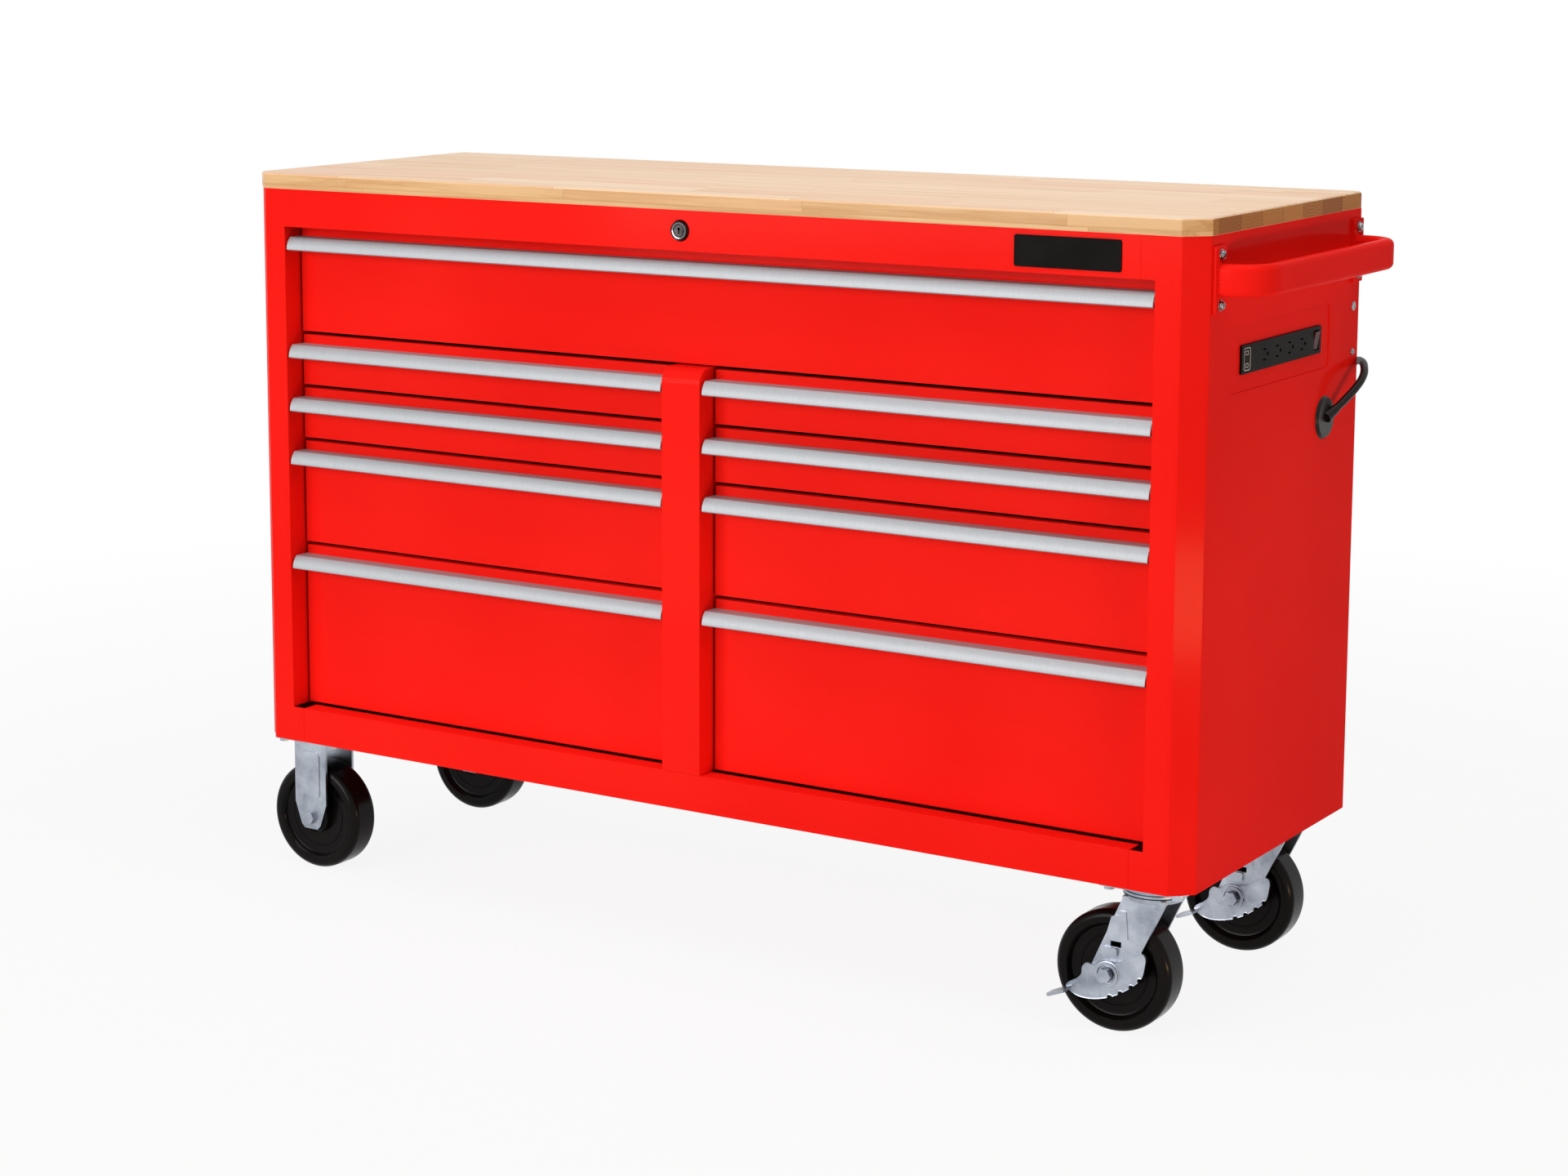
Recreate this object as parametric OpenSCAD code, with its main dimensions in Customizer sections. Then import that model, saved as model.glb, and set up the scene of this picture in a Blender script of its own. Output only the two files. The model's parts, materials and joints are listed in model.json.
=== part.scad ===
// Rolling tool chest: a steel cabinet with a wooden worktop, nine ball-slide
// drawers, a side handle, a power strip and four heavy casters.
// Built with its left front corner of steel at x = 0, y = 0 and the floor at
// z = 0, then moved so that the origin is below the middle of its box.

/* [Cabinet] */
// Width of the steel cabinet
body_w = 1422; // [1300:1:1700]
// Depth of the steel cabinet
body_d = 483; // [470:1:620]
// Height of the steel cabinet
body_h = 780; // [760:1:900]
// Slanted cut of the upright front corners
corner_cut = 25; // [15:1:34]
// Thickness of the cabinet's sheet steel
sheet = 1.5; // [1.2:0.1:2]
// Width of the front posts beside the drawers
post_w = 58; // [50:1:70]
// Depth of the folded front posts
post_d = 80; // [60:1:110]
// Width of the post's head where it meets the rails
post_head_w = 76; // [72:1:90]
// Height of the header above the drawers
header_h = 52; // [46:1:70]
// Height of the rail below the drawers
bottom_rail_h = 49; // [40:1:70]
// How far the flanges of the rails reach back
rail_flange = 28; // [18:1:30]
// Radius of the rolled top of the centre post
post_roll = 20; // [10:1:30]
// Width of the upright hat channels that carry the rear of the slides
upright_w = 34; // [26:1:50]
// Distance from the back panel to the rear uprights
upright_back = 28; // [20:1:60]
// Width of the flanges folded in at the rear edges
rear_flange = 20; // [14:1:30]

/* [Worktop] */
// Thickness of the wooden worktop
top_t = 21; // [16:1:40]
// Overhang of the worktop past the steel
top_over = 2; // [1:0.5:10]
// Eased upper edge of the worktop
top_ease = 2; // [1:0.5:4]
// Small cut of the worktop's rear corners
top_clip = 8; // [4:1:16]

/* [Drawer rows] */
// Height of the full-width top row
row_top_h = 150; // [120:1:160]
// Height of the second row
row_2_h = 75; // [74:1:90]
// Height of the third row
row_3_h = 75; // [74:1:90]
// Height of the fourth row
row_4_h = 148; // [110:1:160]

/* [Drawers] */
// How far the drawer fronts sit behind the cabinet front
front_recess = 32; // [28:1:40]
// Gap above and below a drawer front
front_gap = 2.5; // [1.5:0.5:4]
// Gap at each end of a drawer front
end_gap = 3; // [2:0.5:5]
// Depth of the folded drawer front
front_depth = 14; // [10:1:20]
// Sheet thickness of the drawers
drawer_t = 1.2; // [0.9:0.1:1.6]
// Height of the stepped-back strip along the top of a front
strip_h = 11; // [8:1:14]
// Depth of that step
strip_step = 1.5; // [1:0.5:2.5]
// How far the drawer box sits above the lower edge of its front
box_lift = 6; // [4:1:8]
// How far the drawer box stays below the upper edge of its front
box_drop = 14; // [12:1:18]
// Width of the hem along the top of the box walls
hem_w = 5; // [3:0.5:8]
// Height of that hem
hem_h = 5; // [3:0.5:8]
// Free space behind the drawer boxes
box_back_gap = 20; // [10:1:40]

/* [Pulls] */
// Distance from the top of a drawer cell to the pull
pull_drop = 14.5; // [12:0.5:18]
// Height of the pull's curved cover
pull_h = 17; // [14:0.5:24]
// Reach of the pull's top shelf
pull_shelf = 23; // [18:0.5:26]
// Reach of the pull's lower edge
pull_reach = 31; // [28:0.5:32]
// Wall thickness of the pull
pull_t = 1.8; // [1.2:0.1:2.4]
// Radius of the pull's curved cover
pull_r = 22; // [16:0.5:40]
// Height of the flange that is fixed to the drawer front
pull_flange = 15; // [10:0.5:20]
// Radius of the bead along the pull's lower lip
pull_bead = 1.6; // [1.2:0.1:2.2]
// Gap at each end of a pull
pull_gap = 2.5; // [1.5:0.5:5]

/* [Slides] */
// Space between a drawer box and the cabinet on each side
slide_space = 13; // [12.5:0.1:16]
// Height of the fixed slide channel
slide_h = 45; // [40:0.5:46]
// Metal thickness of the slide channels
slide_t = 1.5; // [1.2:0.1:1.8]
// Running clearance between the slide channels
slide_clear = 0.4; // [0.3:0.05:0.6]
// Length of the slides
slide_len = 400; // [350:10:400]
// Height of the slide's middle above the bottom of its drawer cell
slide_rise = 34; // [32:0.5:36]

/* [Handle] */
// Width of each handle plate
plate_w = 30; // [26:1:40]
// Height of each handle plate
plate_h = 80; // [72:1:100]
// Thickness of the handle plates
plate_t = 4; // [3:0.5:6]
// Height of the handle's middle below the top of the steel
handle_drop = 52; // [50:1:80]
// Distance from the front to the first plate
handle_front = 30; // [28:1:60]
// Distance from the rear edge to the rear plate
handle_rear = 1; // [0:1:20]
// Height of the flat handle tube
bar_h = 38; // [30:1:42]
// Thickness of the flat handle tube
bar_t = 19; // [14:1:24]
// Edge rounding of the handle tube
bar_round = 8; // [4:0.5:9]
// How far the handle stands out from the side
handle_out = 62; // [56:1:80]
// Bend radius of the handle tube at its outer face
handle_bend = 50; // [40:1:54]

/* [Power strip] */
// Distance from the front to the power strip
strip_y = 116; // [100:1:130]
// Length of the power strip's face
strip_len = 242; // [220:1:250]
// Height of the power strip's face
strip_face_h = 34.5; // [30:0.5:40]
// Height of the strip's middle below the top of the steel
strip_drop = 153.5; // [140:0.5:170]
// Depth of the power strip's housing
strip_body_d = 34; // [26:1:40]
// Number of sockets
socket_count = 4; // [1:1:4]
// Distance between sockets
socket_pitch = 38; // [34:0.5:44]
// Width of the rocker switch
rocker_w = 15; // [12:0.5:18]
// Height of the rocker switch
rocker_h = 24; // [18:0.5:26]
// Half of the rocker's travel
rocker_tilt = 8; // [5:1:10]

/* [Pressed panel] */
// Distance from the front to the pressed panel
press_y = 82; // [80:1:98]
// Length of the pressed panel
press_len = 308; // [290:1:320]
// Height of the pressed panel
press_h = 83; // [60:1:90]
// Height of the pressed panel's middle below the top of the steel
press_drop = 151.5; // [140:0.5:170]
// Depth of the pressing
press_depth = 1.5; // [1:0.1:2]

/* [Cord outlet] */
// Diameter of the cord
cord_d = 10; // [8:0.5:10]
// Diameter of the grommet's flange
grommet_d = 55; // [46:1:60]
// Diameter of the hole that the grommet fills
grommet_hole_d = 46; // [40:0.5:50]
// Thickness of the grommet's flange
grommet_t = 4; // [2:0.5:6]
// Distance from the front to the grommet
grommet_y = 377; // [330:1:390]
// Height of the grommet below the top of the steel
grommet_drop = 254; // [230:1:280]

/* [Lock and plate] */
// Diameter of the lock's bezel
lock_d = 28; // [22:0.5:34]
// Diameter of the lock's barrel
lock_barrel_d = 22; // [18:0.5:26]
// Diameter of the turning plug
lock_plug_d = 15; // [12:0.5:16]
// How far the bezel stands out
lock_out = 4; // [2:0.5:6]
// Length of the barrel behind the header
lock_len = 24; // [18:0.5:30]
// Length of the lock's cam
cam_len = 19; // [14:0.5:22]
// Radial clearance of the turning plug
plug_clear = 0.08; // [0.04:0.01:0.1]
// Length of the bare plate on the header
badge_w = 139; // [100:1:180]
// Height of the bare plate
badge_h = 38; // [24:1:42]
// Thickness of the bare plate
badge_t = 1.5; // [1:0.1:3]
// Distance from the right side to the plate's middle
badge_side = 169.5; // [160:0.5:240]

/* [Casters] */
// Diameter of the wheels
wheel_d = 152; // [125:1:160]
// Width of the wheel's tread
wheel_w = 48; // [36:1:50]
// Width of the wheel's hub
hub_w = 54; // [51:0.5:58]
// Diameter of the axle bolts
axle_d = 12; // [10:0.5:14]
// Radial clearance of the wheels on their axles
wheel_clear = 0.08; // [0.04:0.01:0.1]
// Height of a caster from floor to mounting face
caster_h = 192; // [186:1:220]
// Length of a caster's plate along the cabinet
caster_plate_l = 110; // [100:1:120]
// Width of a caster's plate
caster_plate_w = 90; // [86:1:110]
// Thickness of the caster's plate
caster_plate_t = 4; // [3:0.5:6]
// Distance from the cabinet's ends to the caster's middle
caster_x = 66; // [62:1:120]
// Distance from the front and rear to the caster's middle
caster_y = 55; // [50:1:90]
// Thickness of the fork legs
fork_t = 4; // [3:0.5:5]
// Clearance between hub and fork legs
fork_clear = 0.5; // [0.3:0.1:1]
// How far the wheels of the swivel casters trail
trail = 44; // [38:1:50]
// Diameter of the king pin
king_d = 14; // [12:0.5:16]
// Diameter of the swivel's ball race
race_d = 76; // [66:1:80]
// Height of the swivel's fixed race under its plate
race_h = 10; // [8:0.5:12]
// Thickness of the swivel fork's crown
crown_t = 6; // [5:0.5:8]
// Width of the fork legs
leg_w = 56; // [52:1:60]
// Width of a rigid fork leg at its lower end
leg_end_w = 34; // [30:1:40]
// Radius of a swivel fork leg round its axle
eye_r = 24; // [20:0.5:26]
// Thickness of the brake pedal
pedal_t = 4; // [3:0.5:5]
// Reach of the pedal from the axle
pedal_reach = 72; // [68:1:76]
// Width of the pedal's tread
tread_w = 26; // [20:1:34]

/* [Hidden] */
$fn = 64;

// Extra length of cutting solids
cut = 1;

red = [0.86, 0.09, 0.07];
steel = [0.72, 0.74, 0.78];
plastic = [0.08, 0.08, 0.08];
aluminium = [0.8, 0.8, 0.82];

// Heights and depths that follow from the sizes above
body_z = caster_h;
body_top = body_z + body_h;
back_y = body_d - 2 * sheet;
mid_x = (body_w + handle_out - top_over) / 2;
mid_y = (body_d + top_over - max(lock_out, top_over)) / 2;
center_x = body_w / 2;
lock_z = body_top - header_h / 2;
lock_nut_t = 5;
cam_t = 3;
cam_r = 6;
pull_turn_in = 4;
pull_turn_down = 1;
keyway_depth = 8;
keyway_w = 2;
keyway_l = 8;
plug_sink = 0.5;

// Drawer cells, top to bottom: each row's lower and upper edge
cell_top = body_top - header_h;
cell_1 = cell_top - row_top_h;
cell_2 = cell_1 - row_2_h;
cell_3 = cell_2 - row_3_h;
cell_4 = cell_3 - row_4_h;
cell_5 = body_z + bottom_rail_h;
left_x = [post_w, center_x - post_w / 2];
right_x = [center_x + post_w / 2, body_w - post_w];
top_x = [post_w, body_w - post_w];
row_z = [[cell_1, cell_top], [cell_2, cell_1], [cell_3, cell_2], [cell_4, cell_3], [cell_5, cell_4]];
// Cell of each drawer as [x range, z range], in the order of its nodes
cells = [
    [top_x, row_z[0]],
    for (side = [left_x, right_x], row = [1:4]) [side, row_z[row]],
];

// Slides
slide_front = front_recess + front_depth + 2;
box_back = back_y - box_back_gap;
upright_y = back_y - upright_back - upright_w;

// Handle
handle_z = body_top - handle_drop;
handle_leg_y = [handle_front + plate_w / 2, body_d - handle_rear - plate_w / 2];
bend_mid = handle_bend - bar_t / 2;
bolt_rise = (plate_h + bar_h) / 4;

// Casters
axle_z = wheel_d / 2;
plate_z = caster_h - caster_plate_t;
leg_y = hub_w / 2 + fork_clear;
leg_out = leg_y + fork_t;
race_gap = 0.5;
crown_z = plate_z - race_h - race_gap;
caster_cx = [caster_x, body_w - caster_x];
caster_cy = [caster_y, body_d - caster_y];
pedal_gap = 0.4;
pedal_y = leg_out + pedal_gap;
collar_t = 3;
collar_r = 15;
collar_wall = 3;
tooth_r = 3.2;
rib_t = 1.5;
rib_r = 8;
strap_t = 1.5;
stop_t = 4;
stop_l = 20;
stop_h = 11;
stop_x = 2;
stop_z = 28.5;
window_x = 9;
window_z = 38;
window_l = 14;
window_h = 7;
tread_t = 3;
tread_start = 44;
tread_l = pedal_reach - tread_start;
tread_tilt = 22;
tread_drop = 36;
axle_hex = 19;
axle_head_t = 7;
axle_nut_t = 8;
plate_bolt_d = 8;
plate_bolt_hex = 14;
plate_bolt_head = 5;
plate_bolt_inset = 11;
king_nut_d = 24;
king_nut_t = 7;
bolt_play = 1;
caster_corner = 6;

// Fixed race: its edge, its waist and how far it widens towards the plate
race_edge = 1;
race_waist = 2.5;
race_flare = 3;

// Outlines drawn by hand round the axle: brake pedal, its teeth and the strap
pedal_points = [
    [38, 31], [46, 33], [50, 27], [49, 17], [47, 7], [43, -1], [32, -11], [18, -21],
    [4, -28], [-12, -33], [-28, -35], [-42, -33], [-54, -25], [-50, -18], [-40, -12],
    [-34, -5], [-33, 4], [-27, 10], [-18, 9], [-10, 15], [4, 17], [18, 19], [28, 25],
];
tooth_places = [[43, -1], [32, -11], [18, -21], [4, -28]];
strap_points = [
    [-5, 43], [20, 43], [25, 46], [22, 81], [14, 81], [12, 75], [8, 74], [3, 72],
];

// Wheels: rim, dished web and hub as radii, and the depths of the faces
tread_round = 10;
rim_r = 61;
web_r = 56;
hub_r = 24;
web_depth = 8;
rim_slope = [2, 1.5];
web_slope = [3, 1];
hub_slope = 3;

// Details of the cabinet
upright_flange = 14;
cross_h = 5;
cross_gap = 6;
press_r = 10;
window_margin = 3;

// Screws of the handle and of the side
handle_bolt_d = 6;
handle_washer_d = 13;
handle_washer_t = 1.5;
handle_head_d = 11;
handle_head_t = 3;
screw_d = 9;
screw_drop = 181;
ring_plug_d = 12;
ring_plug_drop = 123;
ring_plug_t = 1.5;
rear_inset = 18;
handle_hole_d = 6.4;
plate_corner = 3;

// Power strip
strip_z = body_top - strip_drop;
strip_mid = strip_y + strip_len / 2;
face_x = body_w - press_depth;
face_t = 3;
socket_first = 69;
socket_depth = 9;
slot_spread = 6.3;
slot_l = 8;
slot_w = 2;
earth_d = 5;
rocker_y = strip_y + strip_len - rocker_w;
rocker_pivot_x = face_x + 1;
rocker_play = 1;
rocker_recess = 12;
rocker_deep = 7;
rocker_side = 3;
rocker_lip = 2.5;
rocker_dip = 2;
rocker_lip_in = 0.6;
face_corner = 2;
strip_play = 1;

// Grommet and cord. The route's points are chosen by hand.
grommet_z = body_top - grommet_drop;
grommet_slope = 6;
grommet_neck = 3;
grommet_play = 0.4;
relief_start = [body_w + grommet_t - 1, grommet_y, grommet_z];
relief_root = 2.5;
relief_tip = 0.8;
cord_route = [
    [1432, 393, 728], [1438, 410, 739], [1443, 429, 751], [1444, 448, 762],
    [1438, 468, 771], [1426, 489, 776], [1411, 506, 773], [1397, 517, 761],
    [1385, 523, 738], [1370, 527, 691], [1348, 533, 615], [1320, 540, 520],
    [1289, 549, 425], [1250, 560, 325], [1208, 572, 232], [1163, 587, 150],
    [1124, 605, 88], [1089, 625, 42], [1063, 648, 16], [1046, 678, 6],
    [1040, 712, 5],
];
coil_mid = [975, 712];
coil_r = 60;
plug_len = 32;
plug_w = 28;
plug_axis_z = 12;
plug_gap = 22;
relief_len = 36;
relief_end_r = 8;
relief_thin = 0.6;
plug_round = 5;
blade_low = 3;
blade_spread = 6.3;
blade_l = 16;
blade_w = 1.6;
blade_h = 6.4;
earth_pin_d = 4.8;
earth_pin_l = 19;
earth_pin_rise = 8;

// Outline helpers ---------------------------------------------------------

// Points of an arc
function arc(c, r, a0, a1, n) = [
    for (i = [0:n]) c + r * [cos(a0 + (a1 - a0) * i / n), sin(a0 + (a1 - a0) * i / n)],
];

// Normal to the left of the step from a to b
function left_normal(a, b) = let (d = (b - a) / norm(b - a)) [-d.y, d.x];

// A path moved to its left by t, with mitred corners
function beside(path, t) = let (last = len(path) - 1) [
    for (i = [0:last])
        let (n1 = left_normal(path[max(i - 1, 0)], path[max(i, 1)]))
        let (n2 = left_normal(path[min(i, last - 1)], path[min(i + 1, last)]))
        path[i] + t * (n1 + n2) / (1 + n1 * n2),
];

// Outline of sheet metal of thickness t folded along a path, on its left side
function folded(path, t) = let (inner = beside(path, t), last = len(path) - 1) [
    each path,
    for (i = [last:-1:0]) inner[i],
];

// Angle at which the line from p touches the circle round c, on one side
function touch_angle(p, c, r, side) =
    atan2(p.y - c.y, p.x - c.x) + side * acos(r / norm(p - c));

// Point of a smooth curve through q[1] and q[2]
function curve_point(q, t) = 0.5 * (
    2 * q[1] + (q[2] - q[0]) * t
    + (2 * q[0] - 5 * q[1] + 4 * q[2] - q[3]) * t * t
    + (3 * q[1] - q[0] - 3 * q[2] + q[3]) * t * t * t
);

// Smooth curve through all points of a path, n steps for each stretch
function curve(path, n) = let (last = len(path) - 1) [
    for (i = [0:last - 1], k = [0:n - 1])
        curve_point([
            i == 0 ? 2 * path[0] - path[1] : path[i - 1],
            path[i],
            path[i + 1],
            i == last - 1 ? 2 * path[last] - path[last - 1] : path[i + 2],
        ], k / n),
    path[last],
];

// Moves the cabinet's own frame to the part's frame
module placed() {
    translate([-mid_x, -mid_y, 0]) children();
}

// Extrudes an outline drawn in y and z along x, from x0 to x1
module along_x(x0, x1) {
    translate([x0, 0, 0]) rotate([90, 0, 90]) linear_extrude(x1 - x0) children();
}

// Extrudes an outline drawn in x and z along y, from y0 to y1
module along_y(y0, y1) {
    translate([0, y1, 0]) rotate([90, 0, 0]) linear_extrude(y1 - y0) children();
}

// Rectangle of w by h with rounded corners, centred
module round_rect(w, h, r) {
    square([w - 2 * r, h], center = true);
    square([w, h - 2 * r], center = true);
    for (x = [-1, 1], y = [-1, 1]) translate([x * (w / 2 - r), y * (h / 2 - r)]) circle(r);
}

// Swaps an outline of the left side to the right side of the cabinet
module right_side() {
    translate([body_w, 0, 0]) mirror([1, 0, 0]) children();
}

// Cabinet -----------------------------------------------------------------

// Folded sheet of one side: rear flange, side, slanted corner and front face
module side_sheet(front_w) {
    linear_extrude(body_h) polygon(folded([
        [rear_flange, body_d], [0, body_d], [0, corner_cut], [corner_cut, 0], [front_w, 0],
    ], sheet));
}

// Front post behind the drawers' end of the front face
module side_post() {
    translate([0, 0, bottom_rail_h]) linear_extrude(body_h - bottom_rail_h - header_h)
        polygon(folded([
            [corner_cut, 0], [post_w, 0], [post_w, post_d], [post_w / 2, post_d],
        ], sheet));
}

// Hat channel at the rear that carries the slides
module side_upright() {
    wall_x = 2 * sheet;
    translate([0, 0, sheet]) linear_extrude(body_h - 2 * sheet) polygon(folded([
        [wall_x, upright_y + upright_w + upright_flange], [wall_x, upright_y + upright_w],
        [post_w, upright_y + upright_w], [post_w, upright_y],
        [wall_x, upright_y], [wall_x, upright_y - upright_flange],
    ], -sheet));
}

module side_blank() {
    translate([0, 0, body_z]) {
        difference() {
            side_sheet(post_head_w);
            translate([post_w, -cut, bottom_rail_h])
                cube([post_head_w, sheet + 2 * cut, body_h - bottom_rail_h - header_h]);
        }
        side_post();
        side_upright();
    }
}

module side_left() {
    color(red) placed() side_blank();
}

// Outline of the pressed panel in y and z
module press_outline(inset) {
    translate([press_y + press_len / 2, body_top - press_drop])
        round_rect(press_len - 2 * inset, press_h - 2 * inset, press_r - inset);
}

module side_right() {
    color(red) placed() difference() {
        union() {
            right_side() side_blank();
            along_x(body_w - press_depth - sheet, body_w - sheet) press_outline(0);
        }
        along_x(face_x, body_w + cut) press_outline(sheet);
        along_x(body_w - 3 * sheet - press_depth, body_w) translate([strip_mid, strip_z])
            square([strip_len - 2 * window_margin, strip_face_h - 2 * window_margin], center = true);
        translate([body_w - 3 * sheet, grommet_y, grommet_z])
            rotate([0, 90, 0]) cylinder(d = grommet_hole_d, h = 4 * sheet);
    }
}

module back_panel() {
    color(red) placed() translate([sheet, back_y, body_z + sheet])
        cube([body_w - 2 * sheet, sheet, body_h - 2 * sheet]);
}

// Flat plate that fills the cabinet's plan inside its folded sides
module plan_plate() {
    inner = beside([[0, body_d], [0, corner_cut], [corner_cut, 0], [body_w - corner_cut, 0],
        [body_w, corner_cut], [body_w, body_d]], sheet);
    linear_extrude(sheet) polygon([
        [sheet, back_y + sheet], inner[1], inner[2], inner[3], inner[4],
        [body_w - sheet, back_y + sheet],
    ]);
}

module base_pan() {
    color(red) placed() translate([0, 0, body_z]) plan_plate();
}

module top_deck() {
    color(red) placed() translate([0, 0, body_top - sheet]) plan_plate();
}

// Rail between the post heads, with a flange folded back towards the drawers
module header_rail() {
    color(red) placed() difference() {
        along_x(post_head_w, body_w - post_head_w) polygon(folded([
            [0, body_top], [0, cell_top], [rail_flange, cell_top],
        ], sheet));
        translate([center_x, -cut, lock_z]) rotate([-90, 0, 0])
            cylinder(d = lock_barrel_d + 0.4, h = sheet + 2 * cut);
    }
}

module bottom_rail() {
    color(red) placed() along_x(post_head_w, body_w - post_head_w) polygon(folded([
        [rail_flange, cell_5], [0, cell_5], [0, body_z],
    ], sheet));
}

// Centre post with a rolled top, divider and rear upright. The divider is welded to
// the post's left return flange, and the post's back is open to the right of it.
module center_frame() {
    h = cell_1 - cell_5;
    color(red) placed() {
        difference() {
            along_x(left_x[1], right_x[0]) rolled_outline(0, cell_5);
            along_x(left_x[1] + sheet, right_x[0] - sheet) rolled_outline(sheet, cell_5 - cut);
            translate([center_x + sheet / 2, post_d - sheet - cut, cell_5 - cut])
                cube([post_w / 4, sheet + 2 * cut, h + cut - sheet]);
        }
        translate([center_x - sheet / 2, post_d - sheet, cell_5])
            cube([sheet, back_y - post_d + sheet, h - sheet]);
        translate([0, 0, body_z + sheet]) linear_extrude(cell_1 - body_z - sheet)
            for (x = [0, 1]) translate([center_x, 0]) mirror([x, 0]) polygon(folded([
                [0, upright_y], [post_w / 2, upright_y],
                [post_w / 2, upright_y + upright_w], [0, upright_y + upright_w],
            ], sheet));
    }
}

// Side view of the centre post, its front upper corner rolled
module rolled_outline(inset, bottom) {
    r = post_roll - inset;
    difference() {
        translate([inset, bottom]) square([post_d - 2 * inset, cell_1 - inset - bottom]);
        translate([post_roll, cell_1 - post_roll]) difference() {
            translate([-r - cut, 0]) square([r + cut, r + cut]);
            circle(r);
        }
    }
}

// Rail under the top drawer, seated on the centre post
module cross_rail() {
    y0 = front_recess + front_depth + cross_gap;
    y1 = post_d - sheet;
    color(steel) placed() along_x(post_w, body_w - post_w) polygon(folded([
        [y0, cell_1], [y0, cell_1 + cross_h], [y1, cell_1 + cross_h], [y1, cell_1],
    ], -sheet));
}

// Worktop -----------------------------------------------------------------

function top_corners() = [
    [corner_cut, -top_over],
    [body_w - corner_cut, -top_over],
    [body_w + top_over, corner_cut],
    [body_w + top_over, body_d + top_over - top_clip],
    [body_w + top_over - top_clip, body_d + top_over],
    [top_clip - top_over, body_d + top_over],
    [-top_over, body_d + top_over - top_clip],
    [-top_over, corner_cut],
];

module worktop() {
    corners = top_corners();
    color([0.86, 0.7, 0.5]) placed() translate([0, 0, body_top]) difference() {
        linear_extrude(top_t) polygon(corners);
        for (i = [0:len(corners) - 1]) {
            a = corners[i];
            b = corners[(i + 1) % len(corners)];
            translate([a.x, a.y, top_t]) rotate([0, 0, atan2(b.y - a.y, b.x - a.x)])
                rotate([45, 0, 0]) translate([norm(b - a) / 2, 0, 0])
                cube([norm(b - a) + 2 * corner_cut, top_ease * sqrt(2), top_ease * sqrt(2)], center = true);
        }
    }
}

// Handle ------------------------------------------------------------------

module handle() {
    run = handle_leg_y[1] - handle_leg_y[0] - 2 * bend_mid;
    color(red) placed() translate([body_w, 0, handle_z]) {
        for (y = handle_leg_y) handle_plate(y);
        for (k = [0, 1]) translate([0, handle_leg_y[k], 0]) mirror([0, k, 0]) {
            rotate([90, 0, 90]) linear_extrude(handle_out - handle_bend)
                round_rect(bar_t, bar_h, bar_round);
            translate([handle_out - handle_bend, bend_mid, 0]) rotate([0, 0, -90])
                rotate_extrude(angle = 90) translate([bend_mid, 0])
                round_rect(bar_t, bar_h, bar_round);
        }
        translate([handle_out - bar_t / 2, handle_leg_y[0] + bend_mid + run, 0])
            rotate([90, 0, 0]) linear_extrude(run) round_rect(bar_t, bar_h, bar_round);
    }
}

// One plate of the handle, drilled for its two bolts
module handle_plate(y) {
    difference() {
        rotate([90, 0, 90]) linear_extrude(plate_t) translate([y, 0])
            round_rect(plate_w, plate_h, plate_corner);
        for (z = [-bolt_rise, bolt_rise]) translate([-cut, y, z])
            rotate([0, 90, 0]) cylinder(d = handle_hole_d, h = plate_t + 2 * cut);
    }
}

// Handle bolts, the side's screw and the ring-shaped plug
module side_fasteners() {
    color(steel) placed() {
        for (y = handle_leg_y, z = [-bolt_rise, bolt_rise])
            translate([body_w + plate_t, y, handle_z + z]) rotate([0, 90, 0]) {
                cylinder(d = handle_washer_d, h = handle_washer_t);
                translate([0, 0, handle_washer_t])
                    cylinder(d1 = handle_head_d, d2 = 0.6 * handle_head_d, h = handle_head_t);
                translate([0, 0, -plate_t]) cylinder(d = handle_bolt_d, h = plate_t);
            }
        translate([body_w, body_d - rear_inset, body_top - screw_drop]) rotate([0, 90, 0])
            screw_head();
        translate([body_w, body_d - rear_inset, body_top - ring_plug_drop]) rotate([0, 90, 0])
            ring_plug();
    }
}

// Low domed head on its washer
module screw_head() {
    cylinder(d = screw_d, h = screw_d / 9);
    translate([0, 0, screw_d / 9]) cylinder(d1 = screw_d * 0.9, d2 = screw_d * 0.55, h = screw_d / 6);
}

module ring_plug() {
    difference() {
        cylinder(d = ring_plug_d, h = ring_plug_t);
        translate([0, 0, ring_plug_t / 3]) cylinder(d = 0.6 * ring_plug_d, h = ring_plug_t);
    }
}

// Power strip and cord outlet ---------------------------------------------

module power_strip() {
    color(plastic) placed() difference() {
        union() {
            along_x(face_x, face_x + face_t) translate([strip_mid, strip_z])
                round_rect(strip_len, strip_face_h, face_corner);
            along_x(face_x - strip_body_d, face_x) translate([strip_mid, strip_z])
                square([strip_len - 2 * window_margin - strip_play,
                    strip_face_h - 2 * window_margin - strip_play], center = true);
        }
        for (i = [0:socket_count - 1]) translate([0, strip_y + socket_first + i * socket_pitch, strip_z])
            socket_cuts();
        along_x(face_x - rocker_recess, face_x + face_t + cut) translate([rocker_y, strip_z])
            square([rocker_w + rocker_play, rocker_h + rocker_play], center = true);
    }
}

// Slots and earth hole of one socket
module socket_cuts() {
    x = face_x + face_t - socket_depth;
    for (z = [-slot_spread, slot_spread]) translate([x, slot_w - slot_l, z - slot_w / 2])
        cube([socket_depth + cut, slot_l, slot_w]);
    translate([x, slot_l, 0]) rotate([0, 90, 0]) cylinder(d = earth_d, h = socket_depth + cut);
}

// Rocker, resting with one end pressed in
module rocker() {
    half = rocker_h / 2;
    color([0.35, 0.03, 0.03]) placed() translate([rocker_pivot_x, rocker_y, strip_z])
        rotate([0, rocker_tilt, 0]) along_y(-rocker_w / 2, rocker_w / 2) polygon([
            [-rocker_deep, 0], [-rocker_side, -half + rocker_dip],
            [rocker_lip, -half + rocker_lip_in], [rocker_dip, 0],
            [rocker_lip, half - rocker_lip_in], [-rocker_side, half - rocker_dip],
        ]);
}

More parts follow.
